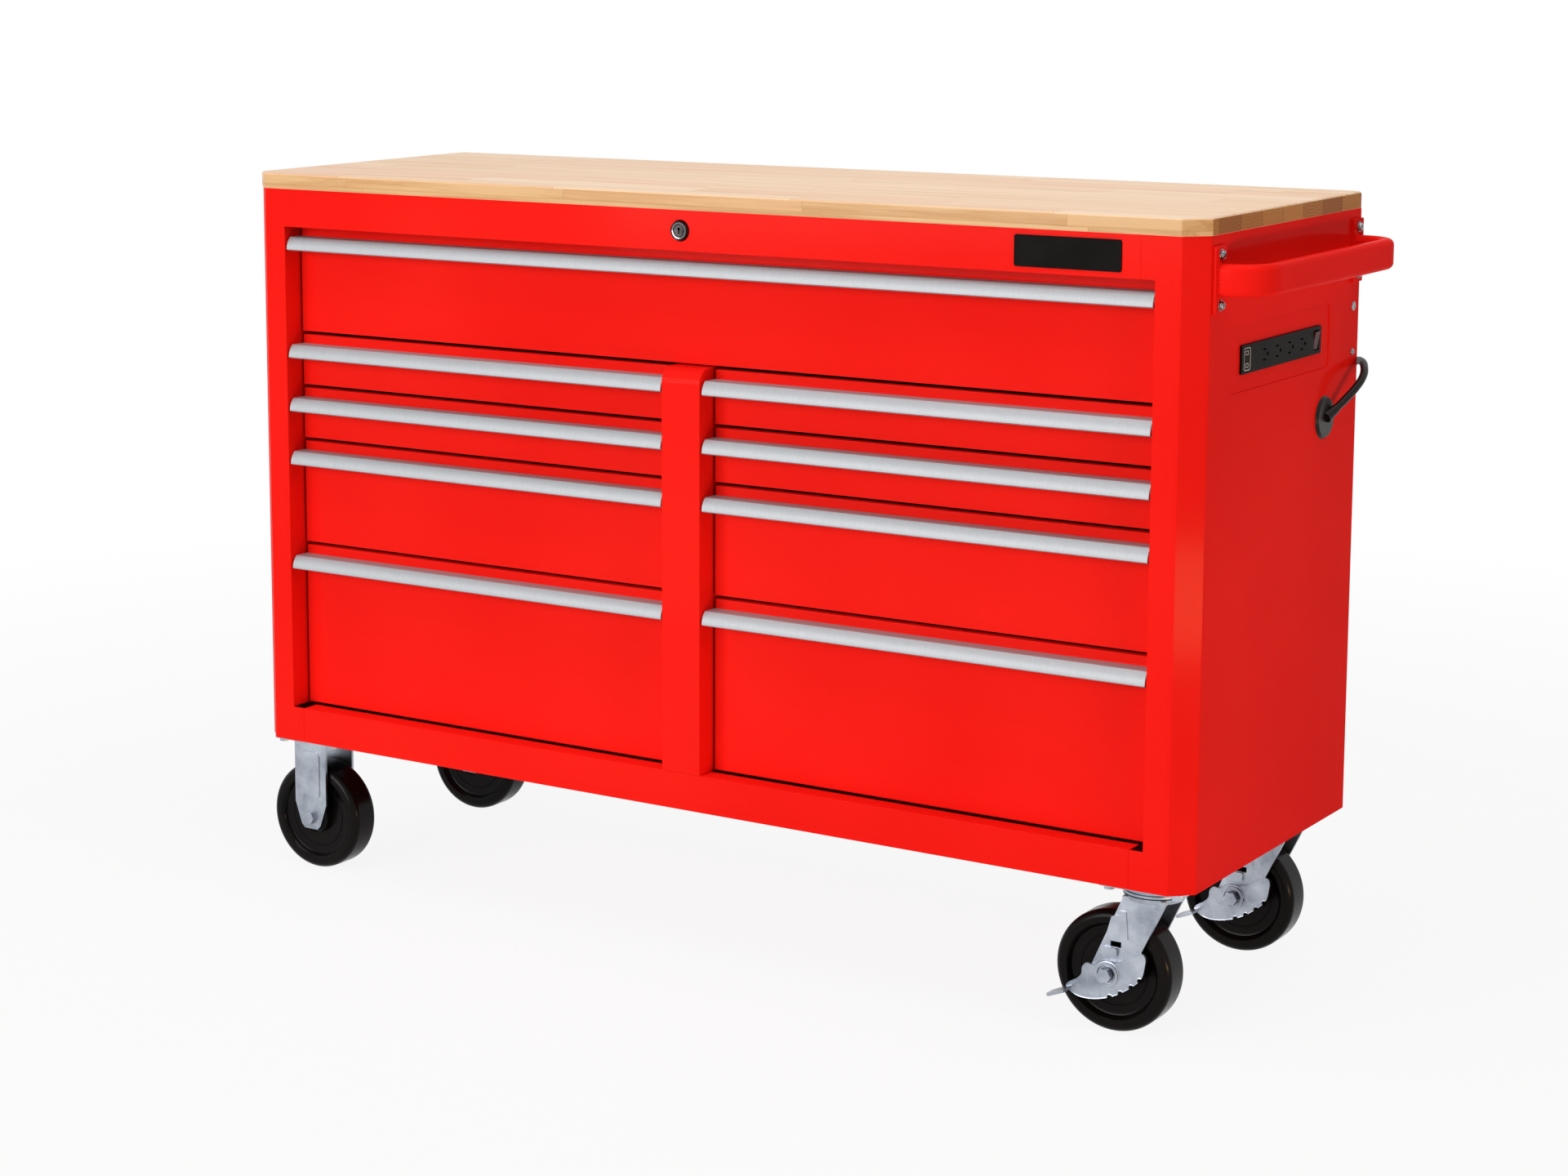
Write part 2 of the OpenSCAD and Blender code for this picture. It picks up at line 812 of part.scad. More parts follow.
module grommet() {
    axis = cord_route[0] - relief_start;
    color(plastic) placed() {
        translate([body_w, grommet_y, grommet_z]) rotate([0, 90, 0]) {
            cylinder(d1 = grommet_d, d2 = grommet_d - grommet_slope, h = grommet_t);
            translate([0, 0, -sheet - grommet_neck])
                cylinder(d = grommet_hole_d - grommet_play, h = sheet + grommet_neck);
        }
        translate(relief_start) rotate([0, acos(axis.z / norm(axis)), atan2(axis.y, axis.x)])
            cylinder(r1 = cord_d / 2 + relief_root, r2 = cord_d / 2 + relief_tip, h = norm(axis));
    }
}

// Lock and plate ----------------------------------------------------------

module badge_plate() {
    color(plastic) placed() along_y(-badge_t, 0) translate([body_w - badge_side, lock_z])
        round_rect(badge_w, badge_h, 2 * badge_t);
}

module lock_housing() {
    color(steel) placed() translate([center_x, 0, lock_z]) rotate([90, 0, 0]) difference() {
        union() {
            cylinder(d1 = lock_d, d2 = lock_d - lock_out, h = lock_out);
            translate([0, 0, -lock_len]) cylinder(d = lock_barrel_d, h = lock_len);
            translate([0, 0, -sheet - lock_nut_t]) cylinder(d = lock_d, h = lock_nut_t, $fn = 6);
        }
        translate([0, 0, -lock_len - cut])
            cylinder(r = lock_plug_d / 2 + plug_clear, h = lock_len + lock_out + 2 * cut);
    }
}

// Turning plug with its keyway and the cam behind the header
module lock_plug() {
    back = -lock_len - cam_t - cut;
    color(steel) placed() translate([center_x, 0, lock_z]) rotate([90, 0, 0]) difference() {
        union() {
            translate([0, 0, back]) cylinder(d = lock_plug_d, h = lock_out - plug_sink - back);
            translate([0, 0, back]) linear_extrude(cam_t) {
                translate([-cam_r, 0]) square([2 * cam_r, cam_len - cam_r]);
                translate([0, cam_len - cam_r]) circle(cam_r);
                circle(1.5 * cam_r);
            }
        }
        translate([-keyway_w / 2, -keyway_l / 2, lock_out - keyway_depth])
            cube([keyway_w, keyway_l, keyway_depth + cut]);
        translate([0, keyway_w, lock_out - keyway_depth]) cylinder(r = keyway_w, h = keyway_depth + cut);
    }
}

// Drawers -----------------------------------------------------------------

// Cross-section of one slide member as [web start, lip end, half height]
function member(k) = [
    [0, slide_space - slide_t - slide_clear, slide_h / 2],
    [slide_t + slide_clear, slide_space - slide_clear, slide_h / 2 - slide_t - slide_clear],
    [2 * (slide_t + slide_clear), slide_space, slide_h / 2 - 2 * (slide_t + slide_clear)],
][k];

// Outline of a slide channel whose web is at its start
module channel(k) {
    m = member(k);
    polygon(folded([[m[1], -m[2]], [m[0], -m[2]], [m[0], m[2]], [m[1], m[2]]], -slide_t));
}

// Outline of the channel that is fixed to the drawer, its web at the far end
module drawer_channel() {
    m = member(2);
    polygon(folded([[m[0], -m[2]], [m[1], -m[2]], [m[1], m[2]], [m[0], m[2]]], slide_t));
}

// Puts a slide outline at both ends of a drawer's cell
module both_sides(i) {
    c = cells[i];
    z = c[1][0] + slide_rise;
    along_y(slide_front, slide_front + slide_len) {
        translate([c[0][0], z]) children();
        translate([c[0][1], z]) mirror([1, 0]) children();
    }
}

module slide_channels() {
    color(steel) placed() for (i = [0:len(cells) - 1]) both_sides(i) channel(0);
}

module slide(i) {
    color(steel) placed() both_sides(i) channel(1);
}

module drawer(i) {
    c = cells[i];
    x0 = c[0][0] + end_gap;
    x1 = c[0][1] - end_gap;
    z0 = c[1][0] + front_gap;
    z1 = c[1][1] - front_gap;
    box_x0 = c[0][0] + slide_space;
    box_x1 = c[0][1] - slide_space;
    box_z0 = z0 + box_lift;
    box_z1 = z1 - box_drop;
    wall_y = front_recess + front_depth - drawer_t;
    color(red) placed() {
        along_x(x0, x1) polygon(folded([
            [front_recess + front_depth, z0], [front_recess, z0],
            [front_recess, z1 - strip_h - strip_step], [front_recess + strip_step, z1 - strip_h],
            [front_recess + strip_step, z1], [front_recess + front_depth, z1],
        ], -drawer_t));
        along_y(wall_y, box_back) polygon(folded([
            [box_x0 + hem_w, box_z1 - hem_h], [box_x0 + hem_w, box_z1], [box_x0, box_z1],
            [box_x0, box_z0], [box_x1, box_z0],
            [box_x1, box_z1], [box_x1 - hem_w, box_z1], [box_x1 - hem_w, box_z1 - hem_h],
        ], drawer_t));
        translate([box_x0, wall_y, z0 + drawer_t / 2])
            cube([box_x1 - box_x0, drawer_t, z1 - z0 - drawer_t]);
        translate([box_x0, box_back - drawer_t, box_z0])
            cube([box_x1 - box_x0, drawer_t, box_z1 - box_z0]);
        both_sides(i) drawer_channel();
    }
}

// Centre of the arc of radius r from a to b that bulges to its right
function arc_middle(a, b, r) =
    let (m = (a + b) / 2, h = norm(b - a) / 2)
    m + left_normal(a, b) * sqrt(r * r - h * h);

// Curved line of the pull's cover, in reach from the drawer front and height
function pull_cover() =
    let (a = [pull_shelf, 0], b = [pull_reach, -pull_h], c = arc_middle(b, a, pull_r))
    arc(c, pull_r, atan2(a.y - c.y, a.x - c.x), atan2(b.y - c.y, b.x - c.x), 10);

// Cross-section of a pull: flange on the drawer front, shelf, curved cover and beaded lip
module pull_outline() {
    path = [
        [0, -pull_flange], [0, 0], each pull_cover(),
        [pull_reach - pull_turn_in, -pull_h - pull_turn_down],
    ];
    inner = beside(path, -pull_t);
    last = len(path) - 1;
    lip = path[last] - path[last - 1];
    turn = atan2(lip.y, lip.x);
    polygon([
        for (i = [0:last - 1]) path[i],
        each arc((path[last] + inner[last]) / 2, pull_bead, turn + 90, turn - 90, 8),
        for (i = [last - 1:-1:0]) inner[i],
    ]);
}

module pull(i) {
    c = cells[i];
    color(aluminium) placed() along_x(c[0][0] + pull_gap, c[0][1] - pull_gap)
        translate([front_recess, c[1][1] - pull_drop]) mirror([1, 0]) pull_outline();
}

// Casters -----------------------------------------------------------------

module wheel(x, y) {
    half = wheel_half();
    color(plastic) placed() translate([x, y, axle_z]) rotate([90, 0, 0])
        rotate_extrude($fn = 96) polygon([
            each half,
            for (i = [len(half) - 1:-1:0]) [half[i].x, -half[i].y],
        ]);
}

// Section of the wheel on one side of its middle plane, from tread to bore
function wheel_half() = let (r = wheel_d / 2, w = wheel_w / 2) [
    each arc([r - tread_round, w - tread_round], tread_round, 0, 90, 6),
    [rim_r, w], [rim_r, w] - rim_slope, [web_r, w - web_depth + web_slope.y],
    [web_r - web_slope.x, w - web_depth], [hub_r + web_slope.y, w - web_depth - web_slope.y],
    [hub_r, hub_w / 2 - hub_slope], [hub_r - hub_slope, hub_w / 2],
    [axle_d / 2 + wheel_clear, hub_w / 2],
];

// Mounting plate, drilled for its four bolts, under the base
module caster_plate() {
    translate([0, 0, plate_z]) difference() {
        linear_extrude(caster_plate_t) round_rect(caster_plate_l, caster_plate_w, caster_corner);
        for (p = bolt_places()) translate([p.x, p.y, -cut])
            cylinder(d = plate_bolt_d + bolt_play, h = caster_plate_t + 2 * cut);
    }
}

function bolt_places() = [
    for (x = [-1, 1], y = [-1, 1])
        [x * (caster_plate_l / 2 - plate_bolt_inset), y * (caster_plate_w / 2 - plate_bolt_inset)],
];

module caster_bolts() {
    color(steel) placed() for (x = caster_cx, y = caster_cy, p = bolt_places())
        translate([x + p.x, y + p.y, plate_z - plate_bolt_head]) {
            cylinder(d = plate_bolt_hex, h = plate_bolt_head, $fn = 6);
            cylinder(d = plate_bolt_d, h = plate_bolt_head + caster_plate_t);
        }
}

// Axle bolt with its hex head and nut across the fork, at the origin
module axle(head_y) {
    nut_y = leg_out + axle_nut_t;
    rotate([90, 0, 0]) {
        translate([0, 0, -nut_y]) cylinder(d = axle_d, h = nut_y + head_y);
        translate([0, 0, head_y]) cylinder(d = axle_hex, h = axle_head_t, $fn = 6);
        translate([0, 0, -nut_y]) cylinder(d = axle_hex, h = axle_nut_t, $fn = 6);
    }
}

// Leg plates on both sides of the wheel from an outline in x and z
module both_legs() {
    for (y = [-leg_out, leg_y]) along_y(y, y + fork_t) children();
}

module rigid_forks() {
    color(steel) placed() for (y = caster_cy) translate([caster_x, y, 0]) {
        caster_plate();
        translate([-leg_w / 2, -leg_out, plate_z - fork_t]) cube([leg_w, 2 * leg_out, fork_t]);
        both_legs() rigid_leg();
        for (side = [-leg_out - rib_t, leg_out]) along_y(side, side + rib_t) leg_rib();
        translate([0, 0, axle_z]) axle(leg_out);
    }
}

// Outline of a rigid fork leg: straight, then tapered, with clipped lower corners
module rigid_leg() {
    knee = axle_z + leg_end_w * 0.6;
    bottom = axle_z - leg_end_w / 2;
    clip = leg_end_w / 6;
    polygon([
        [-leg_w / 2, plate_z], [-leg_w / 2, knee], [-leg_end_w / 2, bottom + clip],
        [-leg_end_w / 2 + clip, bottom], [leg_end_w / 2 - clip, bottom],
        [leg_end_w / 2, bottom + clip], [leg_w / 2, knee], [leg_w / 2, plate_z],
    ]);
}

// Outline of the rib pressed outwards in a rigid fork leg
module leg_rib() {
    top = plate_z - 2 * rib_r;
    bottom = axle_z + leg_end_w * 0.6 + rib_r;
    translate([0, (top + bottom) / 2]) round_rect(leg_w * 0.6, top - bottom, rib_r);
}

// Plates, fixed races and king pins of the swivel casters
module swivel_plates() {
    color(steel) placed() for (y = caster_cy) translate([caster_cx[1], y, 0]) {
        caster_plate();
        translate([0, 0, plate_z - race_h]) rotate_extrude() race_half();
        translate([0, 0, crown_z - crown_t - race_gap]) {
            cylinder(d = king_d, h = plate_z - crown_z + crown_t + race_gap);
            translate([0, 0, -king_nut_t]) cylinder(d = king_nut_d, h = king_nut_t, $fn = 6);
        }
    }
}

// Half section of the fixed race: two rolled steps that widen towards the plate
module race_half() {
    r = race_d / 2;
    polygon([
        [0, 0], [r - race_edge, 0], [r, race_edge], [r, race_h * 0.35],
        [r - race_waist, race_h * 0.45], [r - race_waist, race_h * 0.6],
        [r + race_flare - race_edge, race_h * 0.75], [r + race_flare, race_h], [0, race_h],
    ]);
}

// Outline of a swivel fork's leg: from the crown down to a rounded eye at the axle
module slanted_leg() {
    eye = [-trail, axle_z];
    top = crown_z - crown_t + fork_t;
    front = [leg_w / 2, top - fork_t];
    back = [-leg_w / 2, top - fork_t];
    difference() {
        polygon([
            [leg_w / 2, top], front,
            each arc(eye, eye_r, touch_angle(front, eye, eye_r, -1),
                touch_angle(back, eye, eye_r, 1) - 360, 14),
            back, [-leg_w / 2, top],
        ]);
        translate([window_x - trail, axle_z + window_z]) square([window_l, window_h], center = true);
    }
}

// Swivel fork: crown, two slanted legs, the brake's strap and stop, and the axle bolt
module fork(y) {
    color(steel) placed() translate([caster_cx[1], y, 0]) {
        difference() {
            union() {
                translate([0, 0, crown_z - crown_t]) cylinder(d1 = race_d - 4, d2 = race_d, h = crown_t);
                translate([-leg_w / 2, -leg_out, crown_z - crown_t])
                    cube([leg_w, 2 * leg_out, fork_t]);
            }
            translate([0, 0, crown_z - crown_t - cut])
                cylinder(r = king_d / 2 + wheel_clear, h = crown_t + 2 * cut);
        }
        both_legs() slanted_leg();
        along_y(-leg_out - strap_t, -leg_out) translate([-trail, axle_z]) strap_outline();
        along_y(-leg_out - stop_t, -leg_out) translate([-trail, axle_z])
            translate([stop_x, stop_z]) round_rect(stop_l, stop_h, stop_h / 4);
        translate([-trail, 0, axle_z]) axle(pedal_y + pedal_t + collar_t + race_gap);
    }
}

// Outline of the strap that lies on the outer leg, notched at its upper rear corner
module strap_outline() {
    polygon(strap_points);
}

// Brake pedal: a crescent with a toothed lower edge, a collar and a folded tread
module pedal(y) {
    depth = pedal_y + pedal_t + collar_t;
    color(steel) placed() translate([caster_cx[1] - trail, y, axle_z]) difference() {
        union() {
            along_y(-pedal_y - pedal_t, -pedal_y) pedal_outline();
            rotate([90, 0, 0]) translate([0, 0, pedal_y]) cylinder(r = collar_r, h = pedal_t + collar_t);
            translate([-pedal_reach, -pedal_y - tread_w, -tread_drop]) rotate([0, -tread_tilt, 0])
                cube([tread_l, tread_w, tread_t]);
        }
        translate([0, -pedal_y + cut, 0]) rotate([90, 0, 0])
            cylinder(r = axle_d / 2 + wheel_clear, h = depth);
        translate([0, -depth + collar_t, 0]) rotate([90, 0, 0])
            cylinder(r = collar_r - collar_wall, h = depth);
    }
}

// Outline of the pedal round the axle, with the teeth cut in its lower front edge
module pedal_outline() {
    difference() {
        polygon(curve(pedal_points, 3));
        for (p = tooth_places) translate(p) circle(tooth_r, $fn = 24);
    }
}

// Cord --------------------------------------------------------------------

// Tube swept along the route, one eight-sided ring at each point of its curve
module power_cord() {
    sides = 8;
    line = curve(cord_route, 3);
    count = len(line);
    rings = [for (i = [0:count - 1]) cord_ring(line, i, sides)];
    color(plastic) placed() polyhedron(
        points = [for (ring = rings) each ring],
        faces = [
            [for (k = [0:sides - 1]) k],
            for (i = [0:count - 2], k = [0:sides - 1]) [
                i * sides + k, (i + 1) * sides + k,
                (i + 1) * sides + (k + 1) % sides, i * sides + (k + 1) % sides,
            ],
            [for (k = [sides - 1:-1:0]) (count - 1) * sides + k],
        ]
    );
}

// Ring of points round the line's point i, square to the line
function cord_ring(line, i, sides) =
    let (a = line[max(i - 1, 0)], b = line[min(i + 1, len(line) - 1)])
    let (d = (b - a) / norm(b - a))
    let (u0 = cross(d, [0.3, -0.9, 0.3]), u = u0 / norm(u0), v = cross(d, u))
    [for (k = [0:sides - 1])
        line[i] + cord_d / 2 * (cos(360 * k / sides) * u + sin(360 * k / sides) * v)];

// Outer shape of the wound coil on the floor
module cord_coil() {
    color(plastic) placed() translate([coil_mid.x, coil_mid.y, 0]) rotate_extrude()
        translate([coil_r, cord_d]) round_rect(2 * cord_d, 2 * cord_d, cord_d / 2);
}

// Plug lying beside the coil: relief, body and three blades
module cord_plug() {
    body = plug_gap + relief_len;
    front = body + plug_len - cut;
    color(plastic) placed() translate([coil_mid.x - coil_r - cord_d / 2, coil_mid.y, plug_axis_z])
        rotate([90, 0, 0]) {
            translate([0, 0, plug_gap])
                cylinder(r1 = cord_d / 2 + relief_thin, r2 = relief_end_r, h = relief_len);
            translate([0, 0, body]) linear_extrude(plug_len)
                round_rect(plug_w, 2 * plug_axis_z, plug_round);
            for (x = [-blade_spread, blade_spread]) translate([x - blade_w / 2, -blade_low, front])
                cube([blade_w, blade_h, blade_l + cut]);
            translate([0, -earth_pin_rise, front]) cylinder(d = earth_pin_d, h = earth_pin_l + cut);
        }
}

side_left();
side_right();
back_panel();
base_pan();
top_deck();
header_rail();
bottom_rail();
center_frame();
cross_rail();
worktop();
handle();
side_fasteners();
power_strip();
rocker();
grommet();
badge_plate();
lock_housing();
lock_plug();
slide_channels();
rigid_forks();
swivel_plates();
caster_bolts();
fork(caster_cy[0]);  // fork_front
fork(caster_cy[1]);  // fork_rear
pedal(caster_cy[0]);  // pedal_front
pedal(caster_cy[1]);  // pedal_rear
wheel(caster_cx[0], caster_cy[0]);  // wheel_left_front
wheel(caster_cx[0], caster_cy[1]);  // wheel_left_rear
wheel(caster_cx[1] - trail, caster_cy[0]);  // wheel_right_front
wheel(caster_cx[1] - trail, caster_cy[1]);  // wheel_right_rear
drawer(0);  // drawer_top
drawer(1);  // drawer_left_2
drawer(2);  // drawer_left_3
drawer(3);  // drawer_left_4
drawer(4);  // drawer_left_5
drawer(5);  // drawer_right_2
drawer(6);  // drawer_right_3
drawer(7);  // drawer_right_4
drawer(8);  // drawer_right_5
pull(0);  // pull_top
pull(1);  // pull_left_2
pull(2);  // pull_left_3
pull(3);  // pull_left_4
pull(4);  // pull_left_5
pull(5);  // pull_right_2
pull(6);  // pull_right_3
pull(7);  // pull_right_4
pull(8);  // pull_right_5
slide(0);  // slide_top
slide(1);  // slide_left_2
slide(2);  // slide_left_3
slide(3);  // slide_left_4
slide(4);  // slide_left_5
slide(5);  // slide_right_2
slide(6);  // slide_right_3
slide(7);  // slide_right_4
slide(8);  // slide_right_5
power_cord();
cord_coil();
cord_plug();
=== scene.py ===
import json
import math

import bmesh
import bpy
from mathutils import Matrix, Vector


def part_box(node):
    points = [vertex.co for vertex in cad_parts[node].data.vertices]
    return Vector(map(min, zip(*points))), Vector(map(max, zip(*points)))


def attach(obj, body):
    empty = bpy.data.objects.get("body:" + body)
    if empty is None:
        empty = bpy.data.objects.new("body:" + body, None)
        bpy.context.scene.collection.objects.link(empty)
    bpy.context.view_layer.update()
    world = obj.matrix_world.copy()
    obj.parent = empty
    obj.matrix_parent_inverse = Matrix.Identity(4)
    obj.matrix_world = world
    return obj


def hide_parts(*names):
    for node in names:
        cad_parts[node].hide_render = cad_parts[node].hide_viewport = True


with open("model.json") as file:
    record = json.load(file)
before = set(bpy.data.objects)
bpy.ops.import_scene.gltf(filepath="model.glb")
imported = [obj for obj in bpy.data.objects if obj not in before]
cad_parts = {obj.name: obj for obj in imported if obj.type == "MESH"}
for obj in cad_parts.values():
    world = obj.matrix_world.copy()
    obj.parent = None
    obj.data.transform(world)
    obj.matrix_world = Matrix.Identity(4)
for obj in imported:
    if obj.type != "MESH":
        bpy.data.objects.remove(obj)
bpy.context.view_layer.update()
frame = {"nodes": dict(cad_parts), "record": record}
nodes = frame["nodes"]
bodyOf = {
    node: body
    for body, members in frame["record"]["behaviour"]["bodies"].items()
    for node in members
}
print("frame loaded:", len(nodes), "nodes")


def box(node):
    low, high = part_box(node)
    return Vector(low), Vector(high)


# the chest's own corner: front left of the cabinet at floor level
chestOrigin = Vector((-0.741, -0.2405, 0))


def place(x, y, z):
    # a point given in millimetres from the chest's front left corner
    return chestOrigin + Vector((x, y, z)) / 1000


# station in millimetres from the chest's corner, angles in degrees
camera = {
    "station": (2908.98, -3346.48, 1311.18),
    "yaw": 34.38,
    "pitch": 8.71,
    "roll": -0.22,
    "lens": 72.92,
    "shift": (0.104, -0.104),
    "reach": 50,
}


def makeCamera():
    data = bpy.data.cameras.new("studioCamera")
    data.sensor_width = 36
    data.lens = camera["lens"]
    data.shift_x, data.shift_y = camera["shift"]
    data.clip_end = camera["reach"]
    rig = bpy.data.objects.new("studioCamera", data)
    rig.location = place(*camera["station"])
    turn = Matrix.Rotation(math.radians(camera["yaw"]), 4, "Z")
    turn @= Matrix.Rotation(math.radians(90 - camera["pitch"]), 4, "X")
    turn @= Matrix.Rotation(math.radians(camera["roll"]), 4, "Z")
    rig.rotation_euler = turn.to_euler()
    bpy.context.collection.objects.link(rig)
    bpy.context.scene.camera = rig


makeCamera()
bpy.context.scene.view_settings.view_transform = "Standard"
print("camera placed")


def tint(red, green, blue):
    # a colour given as 0 to 255, as linear light
    steps = [value / 255 for value in (red, green, blue)]
    return tuple(v / 12.92 if v <= 0.04045 else ((v + 0.055) / 1.055) ** 2.4 for v in steps) + (1,)


class Wire:
    # a value in a shader, so that sums can be written as sums

    def __init__(self, finish, socket):
        self.finish, self.socket = finish, socket

    def maths(self, operation, first, second=0.0):
        return self.finish.node("Math", {"operation": operation}, {0: first, 1: second})

    def __add__(self, other):
        return self.maths("ADD", self, other)

    def __radd__(self, other):
        return self.maths("ADD", other, self)

    def __sub__(self, other):
        return self.maths("SUBTRACT", self, other)

    def __rsub__(self, other):
        return self.maths("SUBTRACT", other, self)

    def __mul__(self, other):
        return self.maths("MULTIPLY", self, other)

    def __rmul__(self, other):
        return self.maths("MULTIPLY", other, self)

    def __truediv__(self, other):
        return self.maths("DIVIDE", self, other)

    def __rtruediv__(self, other):
        return self.maths("DIVIDE", other, self)

    def __gt__(self, other):
        return self.maths("GREATER_THAN", self, other)

    def __lt__(self, other):
        return self.maths("LESS_THAN", self, other)

    def floor(self):
        return self.maths("FLOOR", self)

    def fraction(self):
        return self.maths("FRACT", self)

    def size(self):
        return self.maths("ABSOLUTE", self)

    def root(self):
        return self.maths("SQRT", self)


class Finish:
    # a material on the standard surface shader, with its constant sockets set

    def __init__(self, name, constants):
        self.material = bpy.data.materials.new(name)
        self.material.use_nodes = True
        self.tree = self.material.node_tree
        self.shader = self.tree.nodes["Principled BSDF"]
        for socket, value in constants.items():
            self.shader.inputs[socket].default_value = value
        self.here = self.node("TexCoord", output="Object")

    def node(self, kind, settings=None, values=None, output=0):
        made = self.tree.nodes.new("ShaderNode" + kind)
        for name, setting in (settings or {}).items():
            setattr(made, name, setting)
        for socket, value in (values or {}).items():
            if isinstance(value, Wire):
                self.tree.links.new(value.socket, made.inputs[socket])
            else:
                made.inputs[socket].default_value = value
        return Wire(self, made.outputs[output])

    def axes(self):
        parts = self.node("SeparateXYZ", values={0: self.here}).socket.node
        return [Wire(self, output) for output in parts.outputs]

    def vector(self, x, y, z):
        return self.node("CombineXYZ", values={0: x, 1: y, 2: z})

    def stretched(self, x, y, z):
        # the object's own coordinates, scaled along each axis
        return self.node("Mapping", values={"Vector": self.here, "Scale": (x, y, z)})

    def noise(self, scale, detail=3.0, roughness=0.5, at=None, distortion=0.0):
        return self.node(
            "TexNoise",
            values={
                "Vector": at or self.here,
                "Scale": scale,
                "Detail": detail,
                "Roughness": roughness,
                "Distortion": distortion,
            },
        )

    def chance(self, at):
        return self.node("TexWhiteNoise", {"noise_dimensions": "3D"}, {"Vector": at})

    def blend(self, mask, first, second):
        values = {0: mask, 6: first, 7: second}
        return self.node("Mix", {"data_type": "RGBA", "clamp_factor": True}, values, output=2)

    def between(self, wire, low, high, newLow=0.0, newHigh=1.0):
        # a value stretched from one span to another, and held at its ends
        values = {0: wire, 1: low, 2: high, 3: newLow, 4: newHigh}
        return self.node("MapRange", {"clamp": True}, values)

    def bump(self, height, distance, strength=1.0):
        values = {"Height": height, "Distance": distance, "Strength": strength}
        return self.node("Bump", values=values)

    def feed(self, **wires):
        names = {"colour": "Base Color", "roughness": "Roughness", "normal": "Normal"}
        for name, wire in wires.items():
            self.tree.links.new(wire.socket, self.shader.inputs[names[name]])
        return self.material


enamel = {
    "red": (247, 32, 24),
    "deep": (240, 26, 19),
    "roughness": (0.28, 0.37),
    "driftScale": 2.5,
    "smearScale": 9,
    "peelScale": 420,
    "peelDepth": 0.00006,
    "surface": {
        "Specular IOR Level": 0.002,
        "Coat Weight": 0.045,
        "Coat Roughness": 0.1,
        "IOR": 1.45,
    },
}


def redEnamel(name):
    # baked paint: slow drift of tone, smears of gloss and a fine orange peel
    finish = Finish(name, enamel["surface"])
    drift = finish.between(finish.noise(enamel["driftScale"], 2), 0.35, 0.65)
    colour = finish.blend(drift, tint(*enamel["red"]), tint(*enamel["deep"]))
    smears = finish.noise(enamel["smearScale"], 4, 0.6)
    smears = finish.between(smears, 0.3, 0.7, *enamel["roughness"])
    peel = finish.bump(finish.noise(enamel["peelScale"], 2), enamel["peelDepth"], 0.5)
    return finish.feed(colour=colour, roughness=smears, normal=peel)


timber = {
    "staveWidth": 0.062,
    "staveLength": 0.36,
    "firstStave": 0.2,
    "grain": (2.2, 60, 60),
    "relief": 0.0002,
    "pale": (240, 205, 168),
    "warm": (231, 189, 144),
    "rosy": (238, 190, 158),
    "streak": (210, 150, 100),
    "glue": (186, 132, 84),
    "edge": (204, 156, 84),
    "endPale": (206, 150, 80),
    "endDark": (150, 92, 38),
    "ring": (104, 56, 18),
    "ringScale": 78.0,
    "ringWaver": 3.2,
    "poreScale": 900,
    "heart": (0.03, 0.93),
    "faceSurface": {
        "Specular IOR Level": 0.2,
        "Coat Weight": 0.1,
        "Coat Roughness": 0.2,
        "IOR": 1.45,
    },
    "endSurface": {
        "Specular IOR Level": 0.05,
        "Coat Weight": 0.05,
        "Coat Roughness": 0.22,
        "IOR": 1.45,
    },
}


def staves(finish, x, y):
    # rows of staves along the top, each row starting at its own place: a chance value for
    # each stave, the row's number, and where the glue lines run
    row = (y / timber["staveWidth"]).floor()
    start = finish.chance(finish.vector(row, 3.0, 0.0))
    along = x / timber["staveLength"] + start * 5
    cell = finish.chance(finish.vector(along.floor(), row, 7.0))
    gapAcross = ((y / timber["staveWidth"]).fraction() - 0.5).size()
    gapAlong = (along.fraction() - 0.5).size()
    glueLine = finish.between(gapAcross, 0.482, 0.497) + finish.between(gapAlong, 0.4975, 0.4992)
    return cell, row, glueLine


def woodFace(name, front):
    finish = Finish(name, timber["faceSurface"])
    x, y, z = finish.axes()
    across = (z if front else y) + timber["firstStave"]
    cell, row, glueLine = staves(finish, x, across)
    values = {0: finish.here, 1: finish.vector(cell * 9, cell * 3, row)}
    offset = finish.node("VectorMath", {"operation": "ADD"}, values)
    lanes = finish.node("Mapping", values={"Vector": offset, "Scale": timber["grain"]})
    grain = finish.noise(1.0, 6, 0.62, at=lanes, distortion=0.6)
    fine = finish.noise(6.0, 4, 0.7, at=lanes)
    tone = finish.blend(cell, tint(*timber["pale"]), tint(*timber["warm"]))
    tone = finish.blend(finish.between(cell, 0.55, 0.95) * 0.6, tone, tint(*timber["rosy"]))
    tone = finish.blend(finish.between(grain, 0.5, 0.72) * 0.6, tone, tint(*timber["streak"]))
    tone = finish.blend(finish.between(fine, 0.58, 0.75) * 0.4, tone, tint(*timber["streak"]))
    tone = finish.blend(glueLine * 0.5, tone, tint(*timber["glue"]))
    if front:
        tone = finish.blend(0.5, tone, tint(*timber["edge"]))
        tone = finish.blend(finish.between(grain, 0.46, 0.62) * 0.45, tone, tint(*timber["glue"]))
    sheen = finish.between(grain, 0.3, 0.7, 0.34, 0.46)
    relief = finish.bump(fine * 0.5 + grain * 0.5 - glueLine * 0.4, timber["relief"], 0.4)
    return finish.feed(colour=tone, roughness=sheen, normal=relief)


